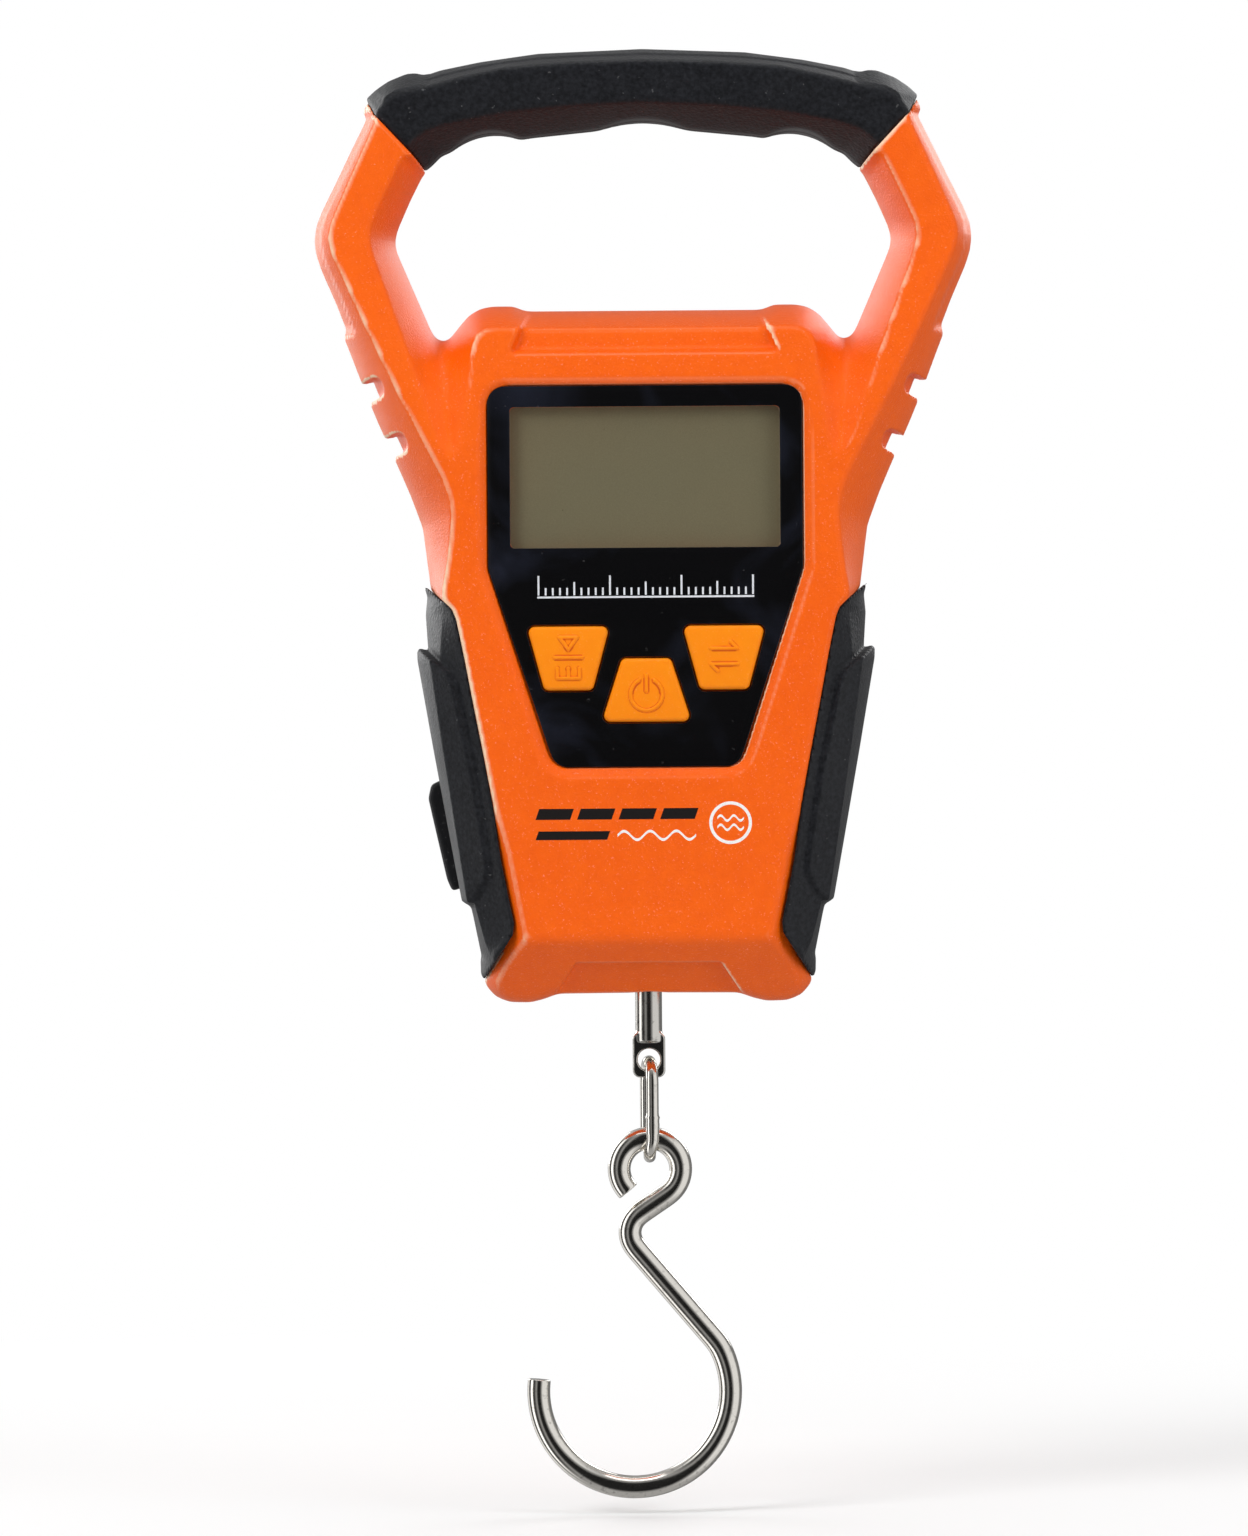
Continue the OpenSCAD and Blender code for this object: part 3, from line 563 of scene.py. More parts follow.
def rubber(name, color=(0.0065, 0.007, 0.009), rough=0.5, grain=1700, relief=0.00009,
           speck=0.05):
    """Soft-touch rubber with a granular moulded texture and dust specks."""
    shader = material_shader(name)
    color = np.array(color)
    cells = shader.add("TexVoronoi", Scale=grain, Vector=shader.coords)
    grains = shader.noise(grain * 0.8, detail=4.0, Roughness=0.65)
    broad = shader.noise(60.0, detail=4.0)
    dust = shader.noise(1300.0, detail=1.0)
    height = shader.math("ADD", cells.outputs["Distance"], grains)
    base = shader.ramp(grains, (0.35, color * 0.72), (0.70, color * 1.9 + 0.004))
    dust = shader.ramp(dust, (0.76, 0), (0.80, speck))
    return shader.surface({
        "Base Color": shader.mix(1.0, base, dust, blend="ADD"),
        "Roughness": shader.ramp(broad, (0.3, rough - 0.07), (0.7, rough + 0.08)),
        "Normal": shader.add("Bump", Strength=0.7, Distance=relief, Height=height),
        "Specular IOR Level": 0.26,
        "Sheen Weight": 0.03})


def metal(name, color, rough, brush=0.25, stretch=(30, 30, 900), spots=0.25):
    """Plated metal: slow waviness, polishing lines (stretched noise) and small pits."""
    shader = material_shader(name)
    color = np.array(color)
    stretched = shader.add("Mapping", shader.coords, Scale=stretch)
    lines = shader.noise(6.0, detail=5.0, Roughness=0.6, Vector=stretched)
    waves = shader.noise(140.0, detail=3.0)
    pits = shader.noise(1100.0, detail=2.0)
    height = shader.math("MULTIPLY_ADD", lines, brush, waves)
    return shader.surface({
        "Base Color": shader.ramp(pits, (0.28, color * (1 - spots)), (0.42, color)),
        "Roughness": shader.ramp(lines, (0.35, rough * 0.7), (0.7, rough * 1.7)),
        "Normal": shader.add("Bump", Strength=0.25, Distance=0.00006, Height=height),
        "Metallic": 1.0})


def panel_black():
    """Gloss black with fine specks and painted bluish reflections."""
    shader = material_shader("panel_black_gloss")
    waves = shader.noise(42.0, detail=3.0)
    specks = shader.ramp(shader.noise(900.0, detail=2.0),
                         (0.74, (0.0035, 0.0035, 0.004)), (0.80, 0.03))
    # painted reflection: soft bluish patches added to the base colour
    painted_reflections = shader.ramp(shader.noise(38.0, detail=3.0, Distortion=1.2),
                         (0.50, 0.0), (0.72, (0.010, 0.012, 0.021)))
    return shader.surface({
        "Base Color": shader.mix(1.0, specks, painted_reflections, blend="ADD"),
        "Roughness": shader.ramp(waves, (0.35, 0.045), (0.7, 0.14)),
        "Normal": shader.add("Bump", Strength=0.25, Distance=0.00012, Height=waves),
        "Coat Weight": 0.25,
        "Coat Roughness": 0.05})


def clear_window():
    """Clear pane with dust specks."""
    shader = material_shader("clear_window")
    shader.tree.nodes.clear()
    output = shader.add("OutputMaterial")
    clear = shader.add("BsdfTransparent", Color=(0.93, 0.94, 0.93))
    gloss = shader.add("BsdfGlossy", Roughness=0.05)
    fresnel = shader.add("Fresnel", IOR=1.49)
    dust = shader.ramp(shader.noise(1500.0, detail=1.0), (0.78, 0.0), (0.82, 0.35))
    amount = shader.math("ADD", fresnel, dust)
    # only the outer faces reflect: the rays are not bent, so the inner faces would turn
    # the window black at a slant
    backfacing = shader.add("NewGeometry").outputs["Backfacing"]
    amount = shader.math("MULTIPLY", amount, shader.math("SUBTRACT", 1.0, backfacing))
    shader.connect(output.inputs[0], shader.add("MixShader", amount, clear, gloss))
    return shader.owner


def lcd_green():
    """Display glass with a slow tint, a fine grain and a faint painted glow that makes up for the
    light the window recess keeps off it.
    """
    shader = material_shader("lcd_glass_green")
    tint = shader.ramp(shader.noise(26.0, detail=2.0),
                       (0.3, (0.205, 0.163, 0.098)), (0.7, (0.188, 0.163, 0.102)))
    grain = shader.ramp(shader.noise(3800.0, detail=1.0), (0.3, 0.93), (0.7, 1.05))
    return shader.surface({
        "Base Color": shader.mix(1.0, tint, grain, blend="MULTIPLY"),
        "Roughness": 0.35,
        "Specular IOR Level": 0.3,
        # painted light: a faint glow in the glass's own tint, standing in for light the recess
        # keeps off it
        "Emission Color": tint,
        "Emission Strength": 0.10})


def ink(name, color, rough=0.45):
    shader = material_shader(name)
    color = np.array(color)
    return shader.surface({
        "Base Color": shader.ramp(shader.noise(2600.0, detail=2.0),
                                  (0.25, color * 0.8), (0.5, color)),
        "Roughness": rough,
        "Specular IOR Level": 0.15})


def battery_wrap():
    """Printed wrap in bands by distance from x = 0, with bare metal ends."""
    shader = material_shader("battery_wrap")
    body, stripe, green, steel = (0.02, 0.05, 0.035), (0.6, 0.62, 0.6), (0.03, 0.16, 0.07), \
        (0.62, 0.62, 0.61)
    distance = shader.math("ABSOLUTE", shader.add("SeparateXYZ", shader.coords))
    # 25 mm from the middle comes to 1
    along = shader.math("MULTIPLY", distance, 40.0)
    return shader.surface({
        "Base Color": shader.ramp(
            along, (0.0, body), (0.55, body), (0.56, stripe), (0.60, stripe),
            (0.61, green), (0.858, green), (0.86, steel), (1.0, steel),
            interpolation="CONSTANT"),
        "Metallic": shader.ramp(along, (0.0, 0), (0.858, 0), (0.86, 1), (1.0, 1),
                                interpolation="CONSTANT"),
        "Roughness": shader.ramp(shader.noise(200.0, detail=3.0), (0.3, 0.2), (0.7, 0.34))})


def tape_print():
    """Scale along the tape, from the attribute "along": mm run and 0-1 across."""
    shader = material_shader("tape_print")
    attribute = shader.add("Attribute", attribute_name="along")
    run, across = shader.add("SeparateXYZ", attribute.outputs["Vector"]).outputs[:2]

    def ticks(period, width, reach):
        phase = shader.math("FRACT", shader.math("MULTIPLY_ADD", run, 1.0 / period, 0.5))
        offset = shader.math("ABSOLUTE", shader.math("SUBTRACT", phase, 0.5))
        on_tick = shader.math("LESS_THAN", offset, 0.5 * width / period)
        return shader.math("MULTIPLY", on_tick, shader.math("LESS_THAN", across, reach))

    black = ticks(period=1.0, width=0.16, reach=0.22)
    for period, width, reach in ((5.0, 0.2, 0.34), (10.0, 0.26, 0.5), (100.0, 0.6, 1.0)):
        black = shader.math("MAXIMUM", black, ticks(period, width, reach))
    red = shader.math("MULTIPLY", ticks(period=100.0, width=5.0, reach=0.95),
                      shader.math("GREATER_THAN", across, 0.62))
    base = shader.mix(red, (0.86, 0.84, 0.74), (0.62, 0.03, 0.02))
    return shader.surface({
        "Base Color": shader.mix(black, base, 0.02),
        "Roughness": 0.35,
        "Coat Weight": 0.2})


# the orange case carries a painted highlight on its outer corners
ORANGE = moulded("orange_abs", (0.95, 0.128, 0.0), (0.84, 0.088, 0.0), rough=0.33, grain=2700,
                 relief=0.00026, mottle=0.5, speck=0.15, edge_highlight=1.8)
RUBBER = rubber("grip_rubber")
# a finer rubber, kept in the file but on no piece
rubber("grip_rubber_smooth", grain=2600, relief=0.00003)
# the keys carry painted shade in the marks sunk into their tops
KEY = moulded("key_silicone", (0.98, 0.27, 0.0), (0.92, 0.21, 0.0), rough=0.45, grain=3200,
              relief=0.00004, mottle=0.4, hollow_shade=0.85, scatter=0.15)
CHROME = metal("chrome_wire", (0.82, 0.79, 0.735), rough=0.115)
NICKEL = metal("nickel_rod", (0.66, 0.64, 0.60), rough=0.14, brush=0.6, stretch=(60, 60, 20),
               spots=0.4)
ZINC = metal("zinc_steel", (0.60, 0.61, 0.62), rough=0.24, brush=0.5, stretch=(40, 600, 40))
BLACK = moulded("black_plastic", (0.014, 0.014, 0.016), (0.008, 0.008, 0.009), rough=0.28,
                grain=1800, relief=0.00002, mottle=0.6)
PANEL_BLACK = panel_black()
CLEAR = clear_window()
LCD = lcd_green()
INK_WHITE = ink("ink_white", (0.72, 0.74, 0.78))
INK_PALE = ink("ink_pale", (0.90, 0.88, 0.86))
INK_BLACK = ink("ink_black", (0.012, 0.010, 0.010), rough=0.6)
FOAM = rubber("black_foam", (0.01, 0.01, 0.011), rough=0.9, grain=2200, relief=0.00012,
              speck=0.0)
BOARD = moulded("board_green", (0.012, 0.16, 0.05), (0.008, 0.10, 0.03), rough=0.3, grain=900,
                mottle=0.6)
CHIP = moulded("chip_black", (0.02, 0.02, 0.022), (0.012, 0.012, 0.013), rough=0.6)
ALUMINIUM = metal("cell_aluminium", (0.78, 0.79, 0.80), rough=0.3, brush=0.7,
                  stretch=(40, 40, 700), spots=0.15)
FOIL = moulded("gauge_foil", (0.72, 0.42, 0.12), (0.5, 0.28, 0.08), rough=0.35)
WHITE = moulded("white_plastic", (0.78, 0.77, 0.72), (0.7, 0.69, 0.63), rough=0.4)
DARK = moulded("dark_plastic", (0.03, 0.03, 0.034), (0.02, 0.02, 0.022), rough=0.45)
TAPE = tape_print()
WIRE_RED = moulded("wire_red", (0.55, 0.02, 0.02), (0.4, 0.015, 0.015), rough=0.35)
WIRE_BLACK = moulded("wire_black", (0.02, 0.02, 0.02), (0.01, 0.01, 0.01), rough=0.35)
DIFFUSER = moulded("diffuser", (0.8, 0.82, 0.72), (0.7, 0.72, 0.62), rough=0.5)
ELASTOMER = moulded("elastomer", (0.75, 0.42, 0.46), (0.65, 0.35, 0.4), rough=0.6)
BATTERY = battery_wrap()


# ---------------------------------------------------------------- shapes shared by the pieces
def key_corners(key):
    foot, head = key.foot / 2, key.head / 2
    return [(key.x - foot, key.bottom), (key.x + foot, key.bottom),
            (key.x + head, key.top), (key.x - head, key.top)]


def key_field(key, x, z):
    """Rounded key outline: the corners drawn in, then the whole moved out by the radius."""
    corners = np.array(key_corners(key))
    inset = []
    for i in range(4):
        before, here, after = corners[i - 1], corners[i], corners[(i + 1) % 4]
        back = (before - here) / np.linalg.norm(before - here)
        ahead = (after - here) / np.linalg.norm(after - here)
        angle = math.acos(float(np.clip(back @ ahead, -1, 1)))
        middle = (back + ahead) / np.linalg.norm(back + ahead)
        inset.append(tuple(here + middle * KEY_RADIUS / math.sin(angle / 2)))
    return polygon(inset, x, z) - KEY_RADIUS


def bottom_slope(depth, z):
    """Slanting underside, rising towards the face."""
    return (depth - FACE_DEPTH) * 0.70 - (z - 11.2) * 0.714


def case_core(side_x, depth, z, clearance=0):
    """Body of the case left under the side grips."""
    flank = side_x - np.interp(z, [0, 79], [25.4, 35.7]) + np.maximum(depth - 4, 0) * 0.25
    return overlap(flank - clearance, depth - (13.0 + clearance))


def tab_seat(y, z, inset=0):
    """Span in y and z of the flat seat for the tape tab."""
    return overlap(18.2 + inset - z, z - (40.6 - inset), 2.2 + inset - y)


# ---------------------------------------------------------------- case halves
def build_case_half(rear):
    grid, depth = half_grid(rear, 60, 0.6, FACE_DEPTH + 1, (-1.5, 159.5), fineness(0.45))
    x, y, z = grid.x, grid.y, grid.z
    side_x = np.abs(x)
    split = soften(cut(polygon(mirrored(SPLIT_OUTER), x, z), polygon(SPLIT_OPENING, side_x, z)),
                   grid.step, 0.6)
    face = soften(cut(polygon(mirrored(FACE_OUTER), x, z), polygon(FACE_OPENING, side_x, z)),
                  grid.step, 0.45)

    # depth of the face: full on the body, less at the handle and in a middle strip at the top
    strip = smooth(21.4 - side_x - 0.42 * (z - 117) + 0.5) * smooth((z - 112.6) / 1.5)
    face_depth = FACE_DEPTH - 2.4 * smooth((z - 96) / 44.0)
    face_depth = face_depth - 1.7 * strip
    # walls pass from the split outline to the face outline
    t = np.clip(depth / face_depth, 0, 1.2) ** 1.75
    wall = (split + (face - split) * t) * (1.0 / np.sqrt(1 + RIM_ANGLE_SLOPE ** 2))
    bottom = bottom_slope(depth, z)
    solid = meet(meet(wall, depth - face_depth, 0.5), bottom, 0.8)

    # shallow scoop in the sloping bottom
    scoop = polygon(mirrored([(0, 7.2), (12.6, 7.2), (16.6, 1.2), (17.4, -3), (0, -3)]), x, z)
    tool = meet(scoop * 0.85, -(bottom + 1.5), 0.25)
    solid = np.maximum(solid, np.where(scoop < 1.5, -tool, -9))
    # channel along the outer flank of each arm
    reach = smooth((z - 116.2) / 2.2) * smooth((156.2 - z) / 1.6)
    rim = smooth((split + 2.35) / 0.35)
    outer = side_x > np.interp(z, [100, 116, 133, 157], [40, 46.5, 50.5, 42])
    solid = solid + 0.85 * reach * rim * outer
    # two slots in each flank, across the slanting wall
    wall_x, wall_z = 0.36, 0.933
    for slot_x, slot_z in ((48.6, 106.75), (44.6, 97.15)):
        along = (side_x - slot_x) * wall_x + (z - slot_z) * wall_z
        across = (side_x - slot_x) * wall_z - (z - slot_z) * wall_x
        slot = rect(across, along, -3.35, 9, -1.8, 1.8, 1.3)
        solid = cut(solid, meet(slot, -(wall + 1.9), 0.45))
    # room for the rubber side grips
    band = polygon(SIDE_BAND, side_x, z) - 0.08
    solid = cut(solid, cut(band, case_core(side_x, depth, z)), 0.3)
    # room for the handle grips, and the bar they close over
    solid = cut(solid, polygon(HANDLE_CUT, side_x, z), 0.35)
    bar = meet(polygon(HANDLE_BAR, side_x, z), depth - 9.2, 0.5)
    solid = weld(solid, bar, 0.2)
    # hollow inside: the body towards the face, the body at the split plane, the arms
    body_span = overlap(12.0 - z, z - 111.5)
    solid = cut(solid, union(
        overlap(face + 2.0, depth - 12.8, body_span),
        overlap(split + 4.6, depth - 5.6, body_span),
        overlap(face + 2.0, depth - 10.2, 113.5 - z, z - 146, 36.0 - side_x)))

    details = rear_details if rear else front_details
    solid = details(solid, grid, depth)
    solid = overlap(solid, SPLIT_GAP - depth)
    solid = cut(solid, overlap(length(x, y) - 2.9, z - 12))
    end = "rear" if rear else "front"
    ob = field_mesh(end + "_shell", solid, grid, ORANGE)
    place(ob, "casing", "orange_plastic", end + "_cover")


def front_details(solid, grid, depth):
    x, z = grid.x, grid.z
    opening = soften(polygon(mirrored(PANEL_OPENING), x, z), grid.step, 0.5)
    # floor under the panel, and its opening with a chamfered edge
    solid = union(solid, overlap(opening - 2.0, depth - 13.0, 11.55 - depth))
    chamfered = opening - 0.12 - 1.45 * np.clip((depth - 13.85) / 1.1, 0, 2)
    solid = cut(solid, overlap(chamfered * 0.75, 13.0 - depth), 0.3)
    solid = cut(solid, overlap(rect(x, z, *WINDOW, WINDOW_RADIUS), 9.0 - depth))
    for key in KEYS:
        solid = cut(solid, overlap(key_field(key, x, z) - KEY_GAP, 9.0 - depth))
    # blind screw posts
    for screw_x, screw_z in SCREWS:
        radial = length(x - screw_x, z - screw_z)
        solid = union(solid, overlap(radial - 3.1, depth - 9.4, SPLIT_GAP - depth))
        solid = cut(solid, overlap(radial - 1.3, depth - 8.4))
    return solid


def rear_details(solid, grid, depth):
    x, z = grid.x, grid.z
    # battery bay: its box, its opening, the rebate for the door and the notch for its catch
    bay = overlap(rect(x, z, -27, 27, 67.4, 94.6, 0.5), 1.2 - depth, depth - 14.0)
    bay_inside = rect(x, z, -25.2, 25.2, 69, 93, 0.5)
    solid = union(solid, cut(bay, overlap(bay_inside, 1.9 - depth)))
    solid = cut(solid, overlap(bay_inside, 11.5 - depth))
    solid = cut(solid, overlap(rect(x, z, -26.0, 26.0, 68.1, 94.4, 0.8), 13.2 - depth), 0.25)
    solid = cut(solid, overlap(rect(x, z, -5.4, 5.4, 93, 95.6, 0.3), 11.6 - depth))
    # oval scoop at the top edge of the door
    scoop = length(length(x / 1.5, z - 96.5), depth - 20.5) - 7.0
    solid = cut(solid, scoop, 0.5)
    # screw posts with through holes and head recesses
    for screw_x, screw_z in SCREWS:
        radial = length(x - screw_x, z - screw_z)
        solid = union(solid, overlap(radial - 3.1, depth - 13.5, SPLIT_GAP - depth))
        solid = cut(solid, overlap(radial - 1.55, depth - 20))
        solid = cut(solid, overlap(radial - 2.9, 11.0 - depth), 0.3)
    # block with a flat seat and a slit for the tape tab, on the left
    block = overlap(x + 22, tab_seat(depth, z, inset=0.05), depth - 13.2,
                    -(28.4 + (z - 16) * 0.123) - x)
    solid = union(solid, block)
    solid = cut(solid, overlap(x + 29.9, tab_seat(depth, z)), 0.3)
    slit = overlap(slab(z, 29.2, 0.7), x + 20, slab(depth, TAPE_Y, 3.3))
    solid = cut(solid, slit)
    # ring groove over the tape measure, and a shallow dish inside it
    radial = length(x - 2, z - 41.6)
    solid = cut(solid, overlap(slab(radial, 16.0, 0.55), 14.45 - depth), 0.2)
    dish = overlap(length(radial, depth - 36.0) - 21.75, radial - 12.5)
    return cut(solid, dish, 0.4)


# ---------------------------------------------------------------- grips
# scallops along the underside of the handle grip: centre x, crest z, radius
SCALLOPS = ((0.0, 154.15, 19.0), (26.0, 152.2, 10.0), (-26.0, 152.2, 10.0))


def build_handle_grip(rear):
    grid, depth = half_grid(rear, 50, 0.5, 13, (144, 168), fineness(0.42))
    x, z = grid.x, grid.z
    side_x = np.abs(x)
    split = soften(polygon(mirrored(HANDLE_SPLIT), x, z), grid.step, 0.35)
    face = soften(polygon(mirrored(HANDLE_FACE), x, z), grid.step, 0.35)
    t = np.clip((depth - 3.0) / 9.0, 0, 1.3) ** 1.25
    solid = meet((split + (face - split) * t) * 0.93, depth - 12.0, 0.6)
    # raised end blocks
    block = smooth((side_x - 37.6 + 0.35 * (z - 160)) / 0.9) * smooth((z - 156.5) / 1.5)
    solid = solid - 0.35 * block * (depth < 11.6)
    for centre, crest, radius in SCALLOPS:
        solid = cut(solid, length(x - centre, z - (crest - radius)) - radius, 0.4)
    # moulded ledge along the top bevel
    span = smooth((z - 157.5) / 2.0) * smooth((37.8 - side_x) / 1.2)
    solid = solid - 0.24 * (1 - smooth((depth - 7.5) / 0.45)) * span
    # room for the bar of the case, then the joints with the arms and the other half
    bar = polygon(HANDLE_BAR_ROOM, side_x, z)
    solid = cut(solid, overlap(bar - 0.05, depth - 9.4))
    solid = meet(solid, polygon(HANDLE_CUT, side_x, z) + 0.05, 0.3)
    solid = meet(solid, 0.03 - depth, 0.15)
    name = "handle_grip_rear" if rear else "handle_grip_front"
    place(field_mesh(name + "_rubber", solid, grid, RUBBER), "casing", "grip_rubber", name)


def build_side_grip(side):
    """Side grip on the left (side -1) or the right (side 1)."""
    grid = Grid((-43, -21) if side < 0 else (21, 43), (-15.6, 15.6), (2, 75),
                fineness(0.42))
    x, y, z = grid.x, grid.y, grid.z
    depth, side_x = np.abs(y), np.abs(x)
    # half width of the case by height at three depths: split plane, shoulder and face
    middle, shoulder, edge = (np.interp(z, heights, widths).astype(np.float32)
                              for heights, widths in (
        ([3, 5.2, 7.5, 8.5, 15.4, 18, 60, 68, 71.2, 72.6, 73.6],
         [28.3, 29.3, 29.35, 29.2, 30.6, 31.2, 38.0, 38.5, 38.2, 38.6, 38.9]),
        ([4, 7.7, 11, 16.6, 61, 68, 71, 73.4],
         [26.4, 27.1, 28.4, 29.9, 35.8, 35.3, 36.0, 37.6]),
        ([3, 4, 5.6, 12.3, 14.2, 18.5, 25.1, 34.8, 43.6, 51.9, 60.6, 67, 68.7, 70.2, 73.3],
         [28.8, 28.6, 27.8, 23.4, 23.3, 24.1, 25.4, 26.8, 28.4, 30.0, 31.6, 32.9, 33.6, 35.3,
          38.6])))
    shoulder_depth, edge_depth = 10.6, 14.75
    near = middle + (shoulder - middle) * np.clip(depth / shoulder_depth, 0, 1) ** 1.5
    far = shoulder + (edge - shoulder) * (depth - shoulder_depth) / (edge_depth - shoulder_depth)
    surface_x = np.where(depth < shoulder_depth, near, far)
    # raised pad
    pad_height = np.interp(z, [17, 30, 45, 60, 63], [1.35, 1.6, 1.85, 2.0, 1.9])
    surface_x = surface_x + pad_height * smooth(-polygon(SIDE_PAD, side_x, z) / 1.35 + 0.12)
    solid = meet((x * side - surface_x) * 0.8, depth - 14.9, 0.35)
    solid = meet(solid, polygon(SIDE_BAND, side_x, z) - 0.08, 0.22)
    solid = cut(solid, case_core(side_x, depth, z, clearance=0.02))
    solid = meet(solid, bottom_slope(depth, z) - 0.25, 0.3)
    if side < 0:
        solid = cut(solid, overlap(x + 20, tab_seat(y, z)), 0.4)
    name = "side_grip_left" if side < 0 else "side_grip_right"
    place(field_mesh(name + "_rubber", solid, grid, RUBBER), "casing", "grip_rubber", name)


# ---------------------------------------------------------------- flat plates and wires
def round_poly(points, radius, steps):
    """Outline with each corner replaced by an arc."""
    corners = [Vector(p) for p in points]
    rounded = []
    for i, here in enumerate(corners):
        back, ahead = corners[i - 1] - here, corners[(i + 1) % len(corners)] - here
        back_length, ahead_length = back.length, ahead.length
        back, ahead = back / back_length, ahead / ahead_length
        angle = math.acos(max(-1, min(1, back.dot(ahead))))
        trim = min(radius / math.tan(angle / 2), 0.48 * back_length, 0.48 * ahead_length)
        fitted = trim * math.tan(angle / 2)
        centre = here + (back + ahead).normalized() * (fitted / math.sin(angle / 2))
        start, end = here + back * trim - centre, here + ahead * trim - centre
        start_angle, end_angle = math.atan2(start.y, start.x), math.atan2(end.y, end.x)
        turn = (end_angle - start_angle + math.pi) % (2 * math.pi) - math.pi
        for k in range(steps + 1):
            t = start_angle + turn * k / steps
            rounded.append((centre.x + fitted * math.cos(t), centre.y + fitted * math.sin(t)))
    return rounded


def grow(points, distance):
    """Outline moved outwards, for convex outlines that run anticlockwise."""
    corners = [Vector(p) for p in points]
    grown = []
    for i, here in enumerate(corners):
        before, after = corners[i - 1], corners[(i + 1) % len(corners)]
        edge_in, edge_out = (here - before).normalized(), (after - here).normalized()
        middle = Vector((edge_in.y, -edge_in.x)) + Vector((edge_out.y, -edge_out.x))
        middle = middle / max(1e-6, middle.dot(middle)) * 2
        grown.append((here.x + middle.x * distance, here.y + middle.y * distance))
    return grown


def offset_loop(loop, distance):
    """A closed loop moved to its left."""
    points = np.array(loop, float)
    edges = np.roll(points, -1, 0) - points
    edges /= np.maximum(np.linalg.norm(edges, axis=1), 1e-9)[:, None]
    normals = np.stack([-edges[:, 1], edges[:, 0]], 1)
    middle = normals + np.roll(normals, 1, 0)
    middle /= np.maximum((middle * middle).sum(1), 0.2)[:, None] / 2
    return points + distance * middle


def signed_area(loop):
    here = np.array(loop, float)
    after = np.roll(here, -1, 0)
    return 0.5 * float((here[:, 0] * after[:, 1] - after[:, 0] * here[:, 1]).sum())


def shade(ob, angle):
    """Smooth faces except those square to Y, with sharp edges beyond the angle in degrees."""
    mesh = ob.data
    mesh.polygons.foreach_set("use_smooth", [abs(p.normal.y) < 0.9995 for p in mesh.polygons])
    mesh.set_sharp_from_angle(angle=math.radians(angle))
    return ob


def solid_object(name, points, faces, material):
    """Object from points (mm) and faces, its normals turned outwards."""
    mesh = bpy.data.meshes.new(name)
    mesh.from_pydata([(x * MM, y * MM, z * MM) for x, y, z in points], [], faces)
    bm = bmesh.new()
    bm.from_mesh(mesh)
    bmesh.ops.recalc_face_normals(bm, faces=bm.faces)
    bm.to_mesh(mesh)
    bm.free()
    return link_object(name, mesh, material)


def cap_faces(points, loops):
    """Triangles between an outer loop and its holes, each given as a range of point numbers."""
    numbers = [i for loop in loops for i in loop]
    outlines = [[(points[i][0], points[i][2]) for i in loop] for loop in loops]
    edges = []
    for loop in loops:
        start, n = len(edges), len(loop)
        edges += [(start + i, start + (i + 1) % n) for i in range(n)]
    flat = [Vector(p) for outline in outlines for p in outline]
    corners, _, triangles, origins, _, _ = delaunay_2d_cdt(flat, edges, [], 1, 1e-6)
    x = np.array([v.x for v in corners])
    z = np.array([v.y for v in corners])
    mid_x = np.array([x[list(t)].mean() for t in triangles])
    mid_z = np.array([z[list(t)].mean() for t in triangles])
    keep = polygon(outlines[0], mid_x, mid_z) < 0
    for hole in outlines[1:]:
        keep &= polygon(hole, mid_x, mid_z) > 0
    return [tuple(numbers[origins[k][0]] for k in triangle)
            for triangle, kept in zip(triangles, keep) if kept]


def plate(loops, y_out, y_in, material, bevel=0, rings=0):
    """Flat plate between two y planes, from an outline and its holes in x-z.

    The edges at y_out are rounded by the bevel, with extra rings of points round the curve.
    """
    sign = 1 if y_in > y_out else -1
    points, faces, out_loops, in_loops = [], [], [], []
    for k, loop in enumerate(loops):
        # the outline runs anticlockwise, the holes clockwise
        if (signed_area(loop) > 0) != (k == 0):
            loop = loop[::-1]
        rows = []
        if bevel > 0:
            for i in range(rings + 2):
                angle = math.pi / 2 * i / (rings + 1)
                rows.append((offset_loop(loop, bevel * (1 - math.sin(angle))),
                             y_out + sign * bevel * (1 - math.cos(angle))))
        else:
            rows.append((loop, y_out))
        rows.append((loop, y_in))
        n, base = len(loop), len(points)
        for row, y in rows:
            points += [(x, y, z) for x, z in row]
        for r in range(len(rows) - 1):
            for i in range(n):
                here, after = base + r * n + i, base + r * n + (i + 1) % n
                faces.append((here, after, after + n, here + n))
        out_loops.append(range(base, base + n))
        in_loops.append(range(len(points) - n, len(points)))
    faces += cap_faces(points, out_loops) + cap_faces(points, in_loops)
    return shade(solid_object("plate", points, faces, material), 35)


def join(name, obs):
    """One object from several, each keeping its own material."""
    bm = bmesh.new()
    materials = []
    for ob in obs:
        base = len(bm.faces)
        bm.from_mesh(ob.data)
        bm.faces.ensure_lookup_table()
        material = ob.data.materials[0]
        if material not in materials:
            materials.append(material)
        for face in bm.faces[base:]:
            face.material_index = materials.index(material)
    mesh = bpy.data.meshes.new(name)
    bm.to_mesh(mesh)
    bm.free()
    for ob in obs:
        bpy.data.objects.remove(ob)
    return link_object(name, mesh, *materials)


